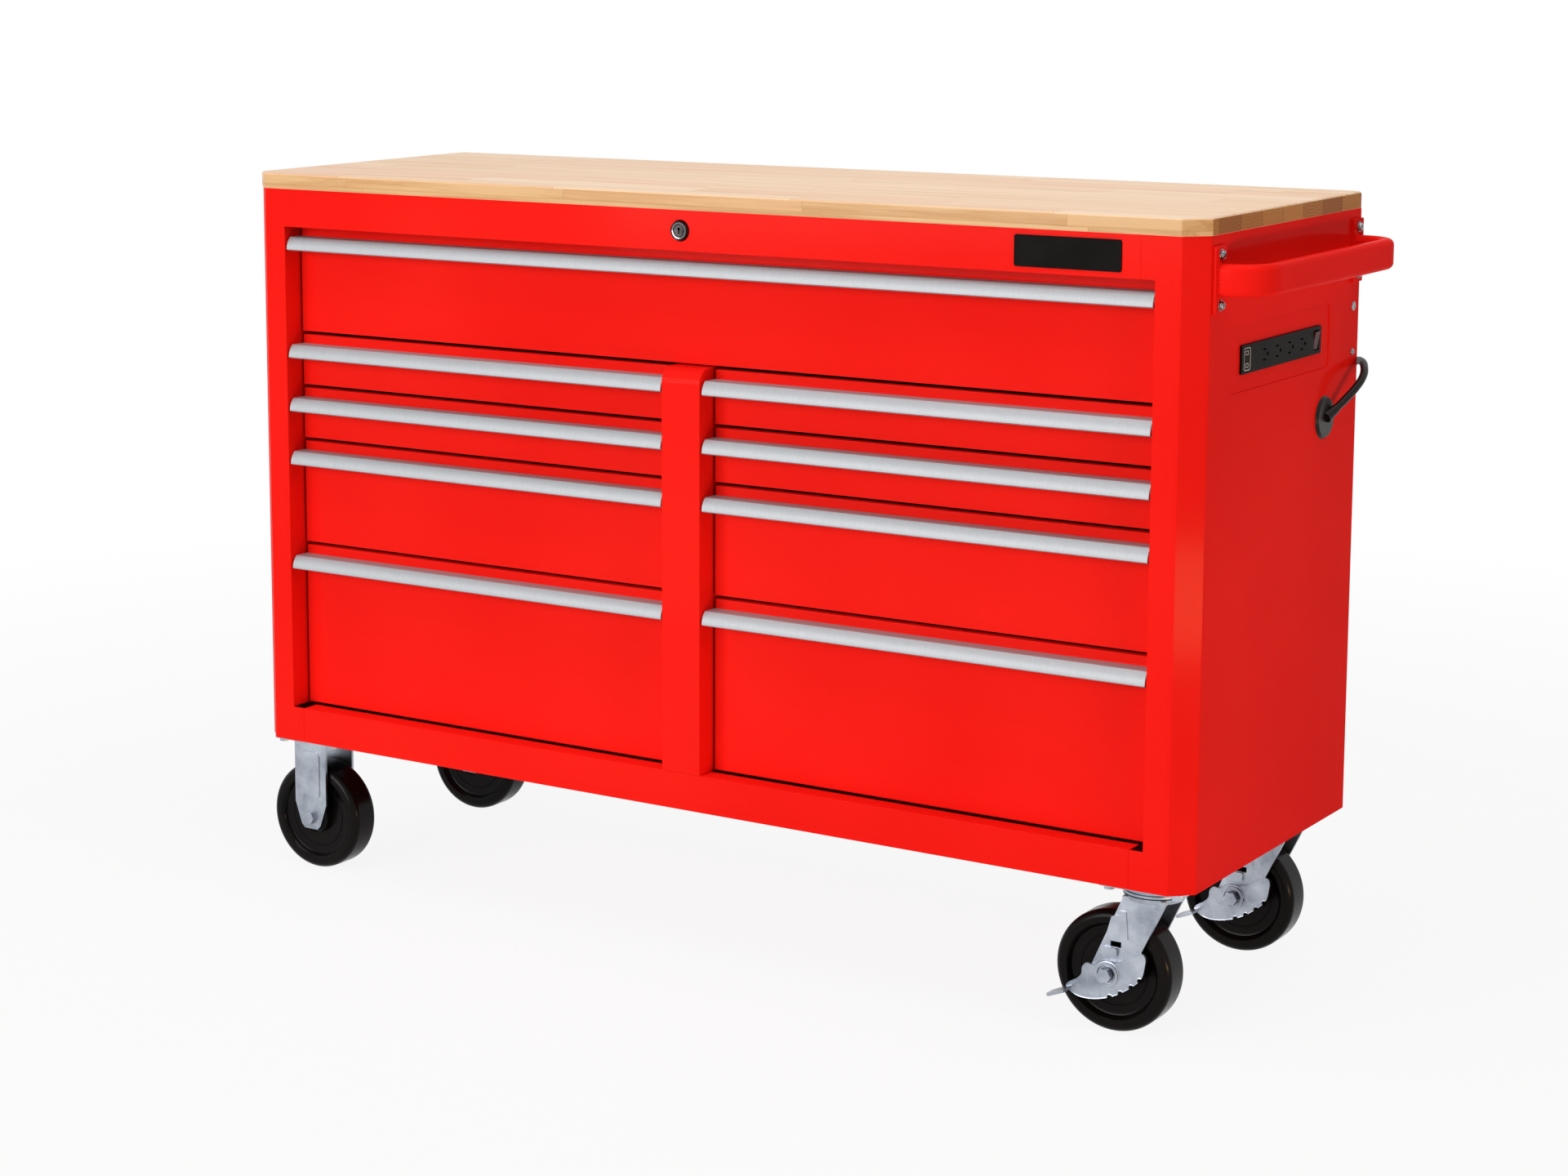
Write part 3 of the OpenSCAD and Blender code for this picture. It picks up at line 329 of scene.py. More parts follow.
def woodEnd(name):
    # growth rings round a heart that lies somewhere else for each stave
    finish = Finish(name, timber["endSurface"])
    y, z = finish.axes()[1:]
    across = y + timber["firstStave"]
    width = timber["staveWidth"]
    heartY, heartZ = timber["heart"]
    cell, row, glueLine = staves(finish, 0.0, across)
    tilt = finish.chance(finish.vector(row, 5.0, 1.0))
    inStave = (across / width).fraction() * width
    heart = finish.vector(0.0, inStave - cell * 0.12 + heartY, z - heartZ - tilt * 0.09)
    rings = finish.node(
        "TexWave",
        {"wave_type": "RINGS", "rings_direction": "X", "wave_profile": "SAW"},
        {"Vector": heart, "Scale": timber["ringScale"], "Distortion": timber["ringWaver"],
         "Detail": 2.0, "Detail Scale": 22.0},
    )
    pores = finish.noise(timber["poreScale"], 2)
    tone = finish.blend(cell, tint(*timber["endPale"]), tint(*timber["endDark"]))
    tone = finish.blend(finish.between(rings, 0.45, 1.0) * 0.75, tone, tint(*timber["ring"]))
    tone = finish.blend(finish.between(pores, 0.6, 0.7) * 0.3, tone, tint(*timber["ring"]))
    tone = finish.blend(finish.between(glueLine, 0.0, 1.0) * 0.6, tone, tint(*timber["ring"]))
    relief = finish.bump(rings * 0.3 + pores * 0.4, timber["relief"], 0.4)
    roughness = finish.between(pores, 0.3, 0.7, 0.4, 0.5)
    return finish.feed(colour=tone, roughness=roughness, normal=relief)


aluminium = {
    "tones": ((171, 173, 176), (160, 163, 167)),
    "fleck": (196, 198, 201),
    "blastScale": 1500,
    "strokes": (2200, 90, 90),
    "relief": 0.00005,
    "roughness": (0.5, 0.62),
    "surface": {"Metallic": 0.55, "Specular IOR Level": 0.3, "IOR": 1.45},
}


def satinAluminium(name):
    # bead-blasted and anodised, with faint strokes across the pull
    finish = Finish(name, aluminium["surface"])
    light, dark = aluminium["tones"]
    blast = finish.noise(aluminium["blastScale"], 2, 0.6)
    strokes = finish.noise(1.0, 3, 0.6, at=finish.stretched(*aluminium["strokes"]))
    tone = finish.blend(finish.between(strokes, 0.35, 0.65), tint(*light), tint(*dark))
    tone = finish.blend(finish.between(blast, 0.55, 0.7) * 0.5, tone, tint(*aluminium["fleck"]))
    relief = finish.bump(blast + strokes * 0.6, aluminium["relief"], 0.6)
    roughness = finish.between(blast, 0.3, 0.7, *aluminium["roughness"])
    return finish.feed(colour=tone, roughness=roughness, normal=relief)


zinc = {
    # the dark tint is deepened so that the cloudy patches also paint reflection contrast into the
    # colour
    "tones": ((186, 192, 202), (122, 129, 140)),
    "scuff": (120, 126, 136),
    "bloomAndReflectionScale": 22,
    "scuffs": (420, 60, 420),
    "rollScale": 700,
    "relief": 0.00004,
    "roughness": (0.26, 0.4),
}


def zincPlate(name):
    # galvanised sheet: cloudy bloom that is partly the zinc's own spangle and partly painted
    # reflection, and short scuffs
    finish = Finish(name, {"Metallic": 1.0})
    light, dark = zinc["tones"]
    # painted reflection: the cloudy mask blends towards the dark tint to stand in for darker
    # surroundings the sheet would reflect, on top of its real spangle
    bloomAndReflection = finish.noise(zinc["bloomAndReflectionScale"], 5, 0.62)
    scuffs = finish.noise(1.0, 4, 0.6, at=finish.stretched(*zinc["scuffs"]))
    tone = finish.blend(finish.between(bloomAndReflection, 0.35, 0.7), tint(*light), tint(*dark))
    tone = finish.blend(finish.between(scuffs, 0.62, 0.8) * 0.4, tone, tint(*zinc["scuff"]))
    relief = finish.bump(finish.noise(zinc["rollScale"], 2) + scuffs * 0.5, zinc["relief"], 0.4)
    roughness = finish.between(bloomAndReflection, 0.3, 0.7, *zinc["roughness"])
    return finish.feed(colour=tone, roughness=roughness, normal=relief)


plating = {"hazeScale": 60, "roughness": (0.08, 0.18)}


def brightPlate(name, light, dark):
    finish = Finish(name, {"Metallic": 1.0})
    haze = finish.noise(plating["hazeScale"], 3)
    tone = finish.blend(finish.between(haze, 0.3, 0.7), tint(*light), tint(*dark))
    return finish.feed(colour=tone, roughness=finish.between(haze, 0.3, 0.7, *plating["roughness"]))


moulding = {"cloudScale": 14, "darker": 0.6, "sheen": (-0.04, 0.05)}


def moulded(name, shade, roughness, texture, depth, shine):
    # plastic, rubber or print: a grain of its own scale and depth, and clouds of a darker tone
    finish = Finish(name, {"Specular IOR Level": shine, "IOR": 1.45})
    cloud = finish.between(finish.noise(moulding["cloudScale"], 3), 0.3, 0.7)
    darker = tuple(value * moulding["darker"] for value in shade)
    colour = finish.blend(cloud, tint(*shade), tint(*darker))
    grain = finish.noise(texture, 2)
    span = [roughness + change for change in moulding["sheen"]]
    sheen = finish.between(grain, 0.3, 0.7, *span)
    return finish.feed(colour=colour, roughness=sheen, normal=finish.bump(grain, depth, 0.5))


materials = {
    "red_paint": redEnamel("redEnamel"),
    "woodTop": woodFace("woodTop", False),
    "woodFront": woodFace("woodFront", True),
    "woodEnd": woodEnd("woodEnd"),
    "aluminium": satinAluminium("satinAluminium"),
    "zinc_steel": zincPlate("zincPlate"),
    "chrome_plate": brightPlate("brightPlate", (150, 148, 150), (112, 110, 112)),
    "darkPlate": brightPlate("darkPlate", (62, 58, 58), (32, 30, 30)),
    "black_plastic": moulded("blackMoulding", (26, 23, 22), 0.42, 1600, 0.00005, 0.03),
    "cord_rubber": moulded("blackJacket", (30, 23, 20), 0.34, 1200, 0.00003, 0.2),
    "dark_red_plastic": moulded("darkRedMoulding", (70, 12, 11), 0.2, 900, 0.00002, 0.08),
    "wheel_black": moulded("wheelBlack", (18, 14, 13), 0.2, 260, 0.00005, 0.1),
    "whitePrint": moulded("whitePrint", (226, 226, 224), 0.4, 900, 0.00002, 0.4),
}
print("materials made")


def newPiece(name, shape, body, finishes, covers=(), sharp=32):
    # a mesh made into a finished piece; edges past the sharp angle stay crisp
    for edge in shape.edges:
        edge.smooth = len(edge.link_faces) == 2 and edge.calc_face_angle(0) < math.radians(sharp)
    for face in shape.faces:
        face.smooth = True
    mesh = bpy.data.meshes.new(name)
    shape.to_mesh(mesh)
    shape.free()
    piece = bpy.data.objects.new(name, mesh)
    bpy.context.collection.objects.link(piece)
    for finish in finishes:
        mesh.materials.append(materials[finish])
    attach(piece, body)
    even = piece.modifiers.new("evenNormals", "WEIGHTED_NORMAL")
    even.keep_sharp = True
    if covers:
        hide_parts(*covers)
    return piece


merging = {"near": 2e-5, "sliver": 1e-5, "flat": 0.8, "same": 1e-6}


def copyOf(node):
    # a merged copy of a node's mesh, with its flat faces whole again
    shape = bmesh.new()
    shape.from_mesh(nodes[node].data)
    bmesh.ops.remove_doubles(shape, verts=shape.verts, dist=merging["near"])
    bmesh.ops.dissolve_degenerate(shape, dist=merging["sliver"], edges=shape.edges)
    bmesh.ops.dissolve_limit(
        shape, angle_limit=math.radians(merging["flat"]), use_dissolve_boundaries=False,
        verts=shape.verts, edges=shape.edges, delimit=set())
    return shape


def facesFront(face):
    return face.normal.y < -0.99


def roundEdges(shape, width, segments, above=28):
    # rounds each edge that turns by more than the given angle, in degrees
    edges = [e for e in shape.edges
             if len(e.link_faces) == 2 and e.calc_face_angle(0) > math.radians(above)]
    bmesh.ops.bevel(
        shape, geom=edges, offset=width, offset_type="OFFSET", affect="EDGES", segments=segments,
        profile=0.5, material=-1, clamp_overlap=True, loop_slide=True)
    bmesh.ops.remove_doubles(shape, verts=shape.verts, dist=merging["same"])
    bmesh.ops.dissolve_degenerate(shape, dist=merging["same"], edges=shape.edges)


def softened(node, slot, width, segments=2, finish=None):
    # the node's own shape with its edges rounded
    shape = copyOf(node)
    roundEdges(shape, width, segments)
    return newPiece(node + "Finished", shape, bodyOf[node], [finish or slot], [node])


cord = {
    "diameter": 0.010,
    "coilMiddle": (975, 712),
    "coilLanes": [(65, 5.4), (55, 5.4), (55, 15.3), (65, 15.3)],  # radius and height of each lane
    "coilTurns": 3.5,
    "pointsPerTurn": 24,
    "changeFrom": 0.66,
    "tail": 22,
    "tailFall": 3,
    "roundSteps": 5,
    "curveSteps": 6,
}
# from the grommet over the cabinet's rear edge and down to the coil, in millimetres
cordRoute = [
    (1432, 393, 728), (1438, 410, 739), (1443, 429, 751), (1444, 448, 762), (1438, 468, 771),
    (1426, 489, 776), (1411, 506, 773), (1397, 517, 761), (1385, 523, 738), (1370, 527, 691),
    (1348, 533, 615), (1320, 540, 520), (1289, 549, 425), (1250, 560, 325), (1208, 572, 232),
    (1163, 587, 150), (1124, 605, 88), (1089, 625, 42), (1063, 648, 16), (1046, 678, 6.4),
    (1040, 712, 5.4),
]


def coilPoints():
    # the cord keeps a lane for two thirds of its stretch, and then shifts to the next
    middleX, middleY = cord["coilMiddle"]
    lanes, total = cord["coilLanes"], cord["coilTurns"]
    steps = round(total * cord["pointsPerTurn"])
    points = []
    for step in range(1, steps + 1):
        stage = min(step / steps * len(lanes), len(lanes) - 0.001)
        lane = int(stage)
        following = min(lane + 1, len(lanes) - 1)
        share = max(0.0, (stage - lane - cord["changeFrom"]) / (1 - cord["changeFrom"]))
        share = share * share * (3 - 2 * share)
        radius = lanes[lane][0] * (1 - share) + lanes[following][0] * share
        height = lanes[lane][1] * (1 - share) + lanes[following][1] * share
        angle = total * step / steps * 2 * math.pi
        x, y = radius * math.cos(angle), radius * math.sin(angle)
        points.append((middleX + x, middleY + y, height))
    return points


def makeCord():
    points = [place(*point) for point in cordRoute + coilPoints()]
    points.append(points[-1] + Vector((0, -cord["tail"], -cord["tailFall"])) / 1000)
    curve = bpy.data.curves.new("powerCordLead", "CURVE")
    curve.dimensions = "3D"
    curve.bevel_depth = cord["diameter"] / 2
    curve.bevel_resolution = cord["roundSteps"]
    curve.resolution_u = cord["curveSteps"]
    curve.use_fill_caps = True
    spline = curve.splines.new("BEZIER")
    spline.bezier_points.add(len(points) - 1)
    for knot, point in zip(spline.bezier_points, points):
        knot.co = point
        knot.handle_left_type = knot.handle_right_type = "AUTO"
    lead = bpy.data.objects.new("powerCordLead", curve)
    bpy.context.collection.objects.link(lead)
    curve.materials.append(materials["cord_rubber"])
    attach(lead, bodyOf["power_cord"])
    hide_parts("power_cord", "cord_coil")
    return lead, points


lead, leadPoints = makeCord()
leadLength = sum((b - a).length for a, b in zip(leadPoints, leadPoints[1:]))
print("cord laid:", round(leadLength, 3), "m")

edgeWidths = {
    "panels": 0.0006,
    "rails": 0.0008,
    "handle": 0.002,
    "drawers": 0.0005,
    "pulls": 0.0004,
    "steel": 0.0006,
    "power_strip": 0.0004,
    "grommet": 0.0006,
    "rocker": 0.0006,
    "lock_plug": 0.0003,
    "cord_plug": 0.001,
}
columns = [side + "_" + str(row) for row in (2, 3, 4, 5) for side in ("left", "right")]
drawerNames = ["top"] + columns

for node in ("side_left", "side_right", "back_panel", "base_pan", "top_deck"):
    softened(node, "red_paint", edgeWidths["panels"])
for node in ("header_rail", "bottom_rail", "center_frame", "cross_rail"):
    softened(node, "red_paint", edgeWidths["rails"])
softened("handle", "red_paint", edgeWidths["handle"], 3)
print("cabinet finished")

for name in drawerNames:
    softened("drawer_" + name, "red_paint", edgeWidths["drawers"])
    softened("pull_" + name, "aluminium", edgeWidths["pulls"])
print("drawers finished")


bench = {"edge": 0.0012, "segments": 3, "sharp": 20, "level": 0.5, "endwise": 1.5}


def makeWorktop():
    # glued staves along the top, their end grain at both ends
    shape = copyOf("worktop")
    roundEdges(shape, bench["edge"], bench["segments"], bench["sharp"])
    for face in shape.faces:
        if abs(face.normal.z) > bench["level"]:
            face.material_index = 0
        elif abs(face.normal.x) > abs(face.normal.y) * bench["endwise"]:
            face.material_index = 2
        else:
            face.material_index = 1
    finishes = ["woodTop", "woodFront", "woodEnd"]
    newPiece("benchTop", shape, bodyOf["worktop"], finishes, ["worktop"])


makeWorktop()

for node in ("rigid_forks", "swivel_plates", "fork_front", "fork_rear"):
    softened(node, "zinc_steel", edgeWidths["steel"])

pedal = {
    "tip": 0.0095,
    "tipZone": 0.0045,
    "tipSteps": 6,
    "broadArea": 0.0006,
    "lip": 0.0016,
    "dish": 0.0007,
    "edge": 0.0005,
}


def makePedal(node):
    # pressed pedal: rounded tread tip, and a dished face inside a raised lip
    shape = copyOf(node)
    low = box(node)[0]
    ends = [edge for edge in shape.edges
            if all(vert.co.x < low.x + pedal["tipZone"] for vert in edge.verts)
            and abs(edge.verts[0].co.y - edge.verts[1].co.y) < merging["sliver"]]
    bmesh.ops.bevel(shape, geom=ends, offset=pedal["tip"], offset_type="OFFSET", affect="EDGES",
                    segments=pedal["tipSteps"], profile=0.5, material=-1, clamp_overlap=True)
    broad = [face for face in shape.faces
             if facesFront(face) and face.calc_area() > pedal["broadArea"]]
    bmesh.ops.inset_region(shape, faces=broad, thickness=pedal["lip"], depth=-pedal["dish"],
                           use_even_offset=True, use_boundary=True)
    roundEdges(shape, pedal["edge"], 2)
    newPiece(node + "Pressed", shape, bodyOf[node], ["zinc_steel"], [node])


for node in ("pedal_front", "pedal_rear"):
    makePedal(node)
softened("power_strip", "black_plastic", edgeWidths["power_strip"])
softened("grommet", "cord_rubber", edgeWidths["grommet"])
softened("rocker", "dark_red_plastic", edgeWidths["rocker"])
softened("lock_plug", "chrome_plate", edgeWidths["lock_plug"], finish="darkPlate")
softened("cord_plug", "cord_rubber", edgeWidths["cord_plug"])

wheel = {
    "tread": 0.048,
    "shoulder": 0.010,
    "shoulderSteps": 8,
    "rim": 0.061,
    "rimStep": (0.002, 0.0015),
    "web": 0.056,
    "webDepth": 0.008,
    "webEase": (0.003, 0.001),
    "ring": 0.044,
    "ringHalf": (0.0006, 0.0012),
    "ringRise": 0.0008,
    "hub": 0.024,
    "hubEase": (0.001, 0.003),
    "bore": 0.0061,
    "steps": 96,
}


def wheelSection(radius, hubWidth):
    # half of the section as (radius, distance from the middle), from tread to bore
    half, hubHalf = wheel["tread"] / 2, hubWidth / 2
    shoulder, steps = wheel["shoulder"], wheel["shoulderSteps"]
    rim, web, ring, hub = wheel["rim"], wheel["web"], wheel["ring"], wheel["hub"]
    webFace = half - wheel["webDepth"]
    ringFace = webFace + wheel["ringRise"]
    rimIn, rimDown = wheel["rimStep"]
    webIn, webUp = wheel["webEase"]
    crest, foot = wheel["ringHalf"]
    hubOut, hubIn = wheel["hubEase"]
    points = []
    for step in range(steps + 1):
        angle = math.pi / 2 * step / steps
        points.append((radius - shoulder + shoulder * math.cos(angle),
                       half - shoulder + shoulder * math.sin(angle)))
    points += [(rim, half), (rim - rimIn, half - rimDown)]
    points += [(web, webFace + webUp), (web - webIn, webFace)]
    points += [(ring + foot, webFace), (ring + crest, ringFace)]
    points += [(ring - crest, ringFace), (ring - foot, webFace)]
    points += [(hub + hubOut, webFace - hubOut), (hub, hubHalf - hubIn), (hub - hubIn, hubHalf)]
    return points + [(wheel["bore"], hubHalf)]


def spun(section, middle, axis, steps):
    # a section of (radius, distance along the axis) turned once round the axis; it closes on
    # itself unless it starts and ends on the axis
    shape = bmesh.new()
    verts = [shape.verts.new((radius, along, 0)) for radius, along in section]
    following = verts[1:] + (verts[:1] if section[0][0] > 0 else [])
    edges = [shape.edges.new(pair) for pair in zip(verts, following)]
    bmesh.ops.spin(shape, geom=verts + edges, cent=(0, 0, 0), axis=(0, 1, 0), angle=2 * math.pi,
                   steps=steps, use_merge=True)
    bmesh.ops.remove_doubles(shape, verts=shape.verts, dist=merging["same"])
    bmesh.ops.recalc_face_normals(shape, faces=shape.faces)
    turn = Vector((0, 1, 0)).rotation_difference(Vector(axis)).to_matrix().to_4x4()
    shape.transform(Matrix.Translation(middle) @ turn)
    return shape


def makeWheel(node):
    low, high = box(node)
    half = wheelSection((high.z - low.z) / 2, high.y - low.y)
    section = half + [(radius, -along) for radius, along in reversed(half)]
    shape = spun(section, (low + high) / 2, (0, 1, 0), wheel["steps"])
    newPiece(node + "Moulded", shape, bodyOf[node], ["wheel_black"], [node])


for node in ("wheel_left_front", "wheel_left_rear", "wheel_right_front", "wheel_right_rear"):
    makeWheel(node)
print("wheels spun")

# these are seen only through gaps, so their own shape stays
for node in ["slide_channels", "caster_bolts"] + ["slide_" + name for name in drawerNames]:
    for slot in nodes[node].material_slots:
        slot.material = materials["zinc_steel"]


screw = {
    "steps": 24,
    "plateShare": 0.4,
    "washerHole": 0.1,
    "washerRise": 0.3,
    "washerEdge": 0.0003,
    "headWide": 0.41,
    "headRise": 0.72,
    "headSeat": 0.28,
    "dome": [(1, 0), (1, 0.35), (0.93, 0.7), (0.8, 0.9), (0.62, 1)],
    "arm": 0.44,
    "armHalf": 0.11,
    "pit": 0.55,
    "pitTaper": 0.75,
    "firstTurn": 0.3,
    "nextTurn": 0.9,
    "sharp": 40,
}
ringPlug = {
    "steps": 32,
    "lift": 0.0001,
    "profile": [(1, 0.4), (0.92, 0.85), (0.8, 1), (0.66, 0.8), (0.58, 0.35), (0, 0.35)],
}


def islandsOf(node):
    # the box round each separate solid of a node
    shape = copyOf(node)
    left = set(shape.verts)
    found = []
    while left:
        group = [left.pop()]
        for vert in group:
            for edge in vert.link_edges:
                other = edge.other_vert(vert)
                if other in left:
                    left.remove(other)
                    group.append(other)
        low = Vector([min(vert.co[axis] for vert in group) for axis in range(3)])
        high = Vector([max(vert.co[axis] for vert in group) for axis in range(3)])
        found.append((low, high))
    shape.free()

    def order(span):
        # by height, and from front to back and upwards where heights agree
        low, high = span
        return round(high.z - low.z, 5), round(low.y, 5), low.z

    return sorted(found, key=order)


def crossHead(radius, height):
    # a domed head with a cross-shaped recess, standing on z = 0
    shape = bmesh.new()
    verts = [shape.verts.new((radius * across, 0, height * up)) for across, up in screw["dome"]]
    edges = [shape.edges.new(pair) for pair in zip(verts, verts[1:])]
    bmesh.ops.spin(shape, geom=verts + edges, cent=(0, 0, 0), axis=(0, 0, 1), angle=2 * math.pi,
                   steps=screw["steps"], use_merge=True)
    bmesh.ops.remove_doubles(shape, verts=shape.verts, dist=merging["same"])
    crest = [edge for edge in shape.edges if edge.is_boundary and edge.verts[0].co.z > height / 2]
    arm, half = radius * screw["arm"], radius * screw["armHalf"]
    corners = []
    for x, y in ((1, 0), (0, 1), (-1, 0), (0, -1)):
        corners.append((x * arm + y * half, y * arm - x * half))
        corners.append((x * arm - y * half, y * arm + x * half))
        corners.append(((x - y) * half, (x + y) * half))
    ring = [shape.verts.new((x, y, height)) for x, y in corners]
    cross = [shape.edges.new(pair) for pair in zip(ring, ring[1:] + ring[:1])]
    bmesh.ops.triangle_fill(shape, use_beauty=True, edges=crest + cross, normal=(0, 0, 1))
    wall = bmesh.ops.extrude_edge_only(shape, edges=cross)
    lower = [item for item in wall["geom"] if isinstance(item, bmesh.types.BMVert)]
    bmesh.ops.translate(shape, verts=lower, vec=(0, 0, -height * screw["pit"]))
    bmesh.ops.scale(shape, verts=lower, vec=(screw["pitTaper"], screw["pitTaper"], 1))
    bmesh.ops.holes_fill(shape, edges=[edge for edge in shape.edges if edge.is_boundary], sides=0)
    bmesh.ops.recalc_face_normals(shape, faces=shape.faces)
    return shape


def addTo(shape, part):
    mesh = bpy.data.meshes.new("part")
    part.to_mesh(mesh)
    part.free()
    shape.from_mesh(mesh)
    bpy.data.meshes.remove(mesh)


def makeScrews():
    # a screw in the side panel, two through each handle plate, and the ring plug
    small, ring, *bolts = islandsOf("side_fasteners")
    face = small[0].x
    shape = bmesh.new()
    for step, (low, high) in enumerate([small] + bolts):
        seat = face if step == 0 else face + (bolts[0][1].x - bolts[0][0].x) * screw["plateShare"]
        wide, rise = high.z - low.z, high.x - seat
        middle = Vector((seat, (low.y + high.y) / 2, (low.z + high.z) / 2))
        hole, flat = screw["washerHole"] * wide, screw["washerRise"] * rise
        rim, edge = wide / 2, screw["washerEdge"]
        washer = [(hole, 0), (rim, 0), (rim, flat - edge), (rim - edge, flat), (hole, flat)]
        addTo(shape, spun(washer, middle, (1, 0, 0), screw["steps"]))
        head = crossHead(wide * screw["headWide"], rise * screw["headRise"])
        turned = screw["firstTurn"] + screw["nextTurn"] * step
        head.transform(Matrix.Translation(middle + Vector((rise * screw["headSeat"], 0, 0)))
                       @ Matrix.Rotation(math.pi / 2, 4, "Y") @ Matrix.Rotation(turned, 4, "Z"))
        addTo(shape, head)
    low, high = ring
    middle = Vector((face, (low.y + high.y) / 2, (low.z + high.z) / 2))
    wide, rise, lift = (high.z - low.z) / 2, high.x - low.x, ringPlug["lift"]
    section = [(0, lift), (wide, lift)]
    section += [(wide * out, rise * up) for out, up in ringPlug["profile"]]
    addTo(shape, spun(section, middle, (1, 0, 0), ringPlug["steps"]))
    newPiece("sideScrews", shape, bodyOf["side_fasteners"], ["chrome_plate"],
             ["side_fasteners"], sharp=screw["sharp"])


makeScrews()


badge = {
    "flat": 0.02,
    "rim": 0.0016,
    "step": 0.0004,
    "sink": 0.0005,
    "edge": 0.0002,
}


def makeBadge():
    # bare plate with a raised rim
    shape = copyOf("badge_plate")
    bmesh.ops.dissolve_limit(shape, angle_limit=badge["flat"], verts=shape.verts, edges=shape.edges)
    shape.normal_update()
    front = [face for face in shape.faces if facesFront(face)]
    for thickness, depth in ((badge["rim"], 0), (badge["step"], -badge["sink"])):
        bmesh.ops.inset_region(shape, faces=front, thickness=thickness, depth=depth,
                               use_even_offset=True, use_boundary=True)
    roundEdges(shape, badge["edge"], 2)
    newPiece("badgeBare", shape, bodyOf["badge_plate"], ["black_plastic"],
             ["badge_plate"])


makeBadge()

rivet = {
    "radius": 0.0034,
    "rise": 0.0014,
    "sink": 0.0003,
    "profile": [(1, 0.35), (0.86, 0.8), (0.62, 1), (0.3, 1), (0.26, 0.55), (0, 0.5)],
    "fromSide": 0.010,
    "fromEnds": 0.045,
    "rows": 6,
    "steps": 16,
    "sharp": 45,
}


def makeRivets():
    # blind rivets that hold the side panels' rear flanges to the back panel
    shape = bmesh.new()
    radius, rise, sink = rivet["radius"], rivet["rise"], rivet["sink"]
    section = [(0, -sink), (radius, -sink)]
    section += [(radius * out, rise * up) for out, up in rivet["profile"]]
    for node, edge, inward in (("side_left", 0, 1), ("side_right", 1, -1)):
        low, high = box(node)
        x = (low.x, high.x)[edge] + inward * rivet["fromSide"]
        bottom, top = low.z + rivet["fromEnds"], high.z - rivet["fromEnds"]
        for row in range(rivet["rows"]):
            z = bottom + (top - bottom) * row / (rivet["rows"] - 1)
            addTo(shape, spun(section, Vector((x, high.y, z)), (0, 1, 0), rivet["steps"]))
    newPiece("backRivets", shape, "cabinet", ["red_paint"], sharp=rivet["sharp"])


makeRivets()

lock = {
    "lip": 0.001,
    "sink": 0.0008,
    "edge": 0.0003,
    "ringIn": 0.63,
    "ringOut": 0.88,
    "ringClear": 0.0012,
    "ringSeat": 0.0001,
    "ringCrest": 0.7,
    "ringRise": 0.0005,
    "ringSteps": 48,
}


def makeLock():
    # bezel with its face let in behind a lip, and a polished ring lying in it
    low, high = box("lock_housing")
    shape = copyOf("lock_housing")
    broad = [face for face in shape.faces
             if facesFront(face) and face.calc_center_median().y < low.y + lock["ringSeat"]]
    reach = max(vert.co.x - low.x for face in broad for vert in face.verts) - (high.x - low.x) / 2
    bmesh.ops.inset_region(shape, faces=broad, thickness=lock["lip"], depth=-lock["sink"],
                           use_even_offset=True, use_boundary=True)
    for face in broad:
        face.material_index = 1
    roundEdges(shape, lock["edge"], 2)
    newPiece("lockBezel", shape, bodyOf["lock_housing"],
             ["darkPlate", "black_plastic"], ["lock_housing"])
    middle = Vector(((low.x + high.x) / 2, low.y, (low.z + high.z) / 2))
    inside = reach * lock["ringIn"] + lock["ringClear"]
    outside = reach * lock["ringOut"]
    crest = outside * lock["ringCrest"] + inside * (1 - lock["ringCrest"])
    seat = lock["sink"] + lock["ringSeat"]
    shoulder = lock["sink"] - lock["ringRise"] / 2
    top = lock["sink"] - lock["ringRise"]
    section = [(inside, seat), (outside, seat), (outside, shoulder)]
    section += [(crest, top), (inside, shoulder)]
    ring = spun(section, middle, (0, 1, 0), lock["ringSteps"])
    newPiece("lockRing", ring, bodyOf["lock_housing"], ["chrome_plate"])


makeLock()

stripMarks = {
    "fromFront": 0.006,
    "rise": 0.0003,
    "cornerSteps": 4,
    "outline": {"wide": 0.019, "high": 0.0275, "corner": 0.004, "line": 0.0011},
    "port": {"wide": 0.0085, "high": 0.0052, "corner": 0.0008, "line": 0.0009},
    "portShift": 0.001,
    "portLevels": {"Upper": 0.0075, "Lower": -0.0075},
}


def ringPlate(name, centre, wide, high, corner, line):
    # a thin printed frame with round corners, lying on the chest's right side
    shape = bmesh.new()
    steps = stripMarks["cornerSteps"]
    verts = []
    for turn, (sideY, sideZ) in enumerate(((1, 1), (-1, 1), (-1, -1), (1, -1))):
        for step in range(steps + 1):
            angle = math.pi / 2 * (turn + step / steps)
            verts.append(shape.verts.new((0, sideY * (wide / 2 - corner) + corner * math.cos(angle),
                                          sideZ * (high / 2 - corner) + corner * math.sin(angle))))
    face = shape.faces.new(verts)
    face.normal_update()
    bmesh.ops.inset_region(shape, faces=[face], thickness=line, use_even_offset=True,
                           use_boundary=True)
    bmesh.ops.delete(shape, geom=[face], context="FACES_ONLY")
    walls = bmesh.ops.extrude_face_region(shape, geom=shape.faces[:])
    moved = [item for item in walls["geom"] if isinstance(item, bmesh.types.BMVert)]
    bmesh.ops.translate(shape, verts=moved, vec=(stripMarks["rise"], 0, 0))
    bmesh.ops.recalc_face_normals(shape, faces=shape.faces)
    bmesh.ops.translate(shape, verts=shape.verts, vec=centre)
    newPiece(name, shape, "cabinet", ["whitePrint"])


def makeStripMarks():
    low, high = box("power_strip")
    y = low.y + stripMarks["fromFront"] + stripMarks["outline"]["wide"] / 2
    middle = (low.z + high.z) / 2
    ringPlate("stripOutline", (high.x, y, middle), **stripMarks["outline"])
    for level, z in stripMarks["portLevels"].items():
        centre = (high.x, y - stripMarks["portShift"], middle + z)
        ringPlate("stripPort" + level, centre, **stripMarks["port"])


makeStripMarks()

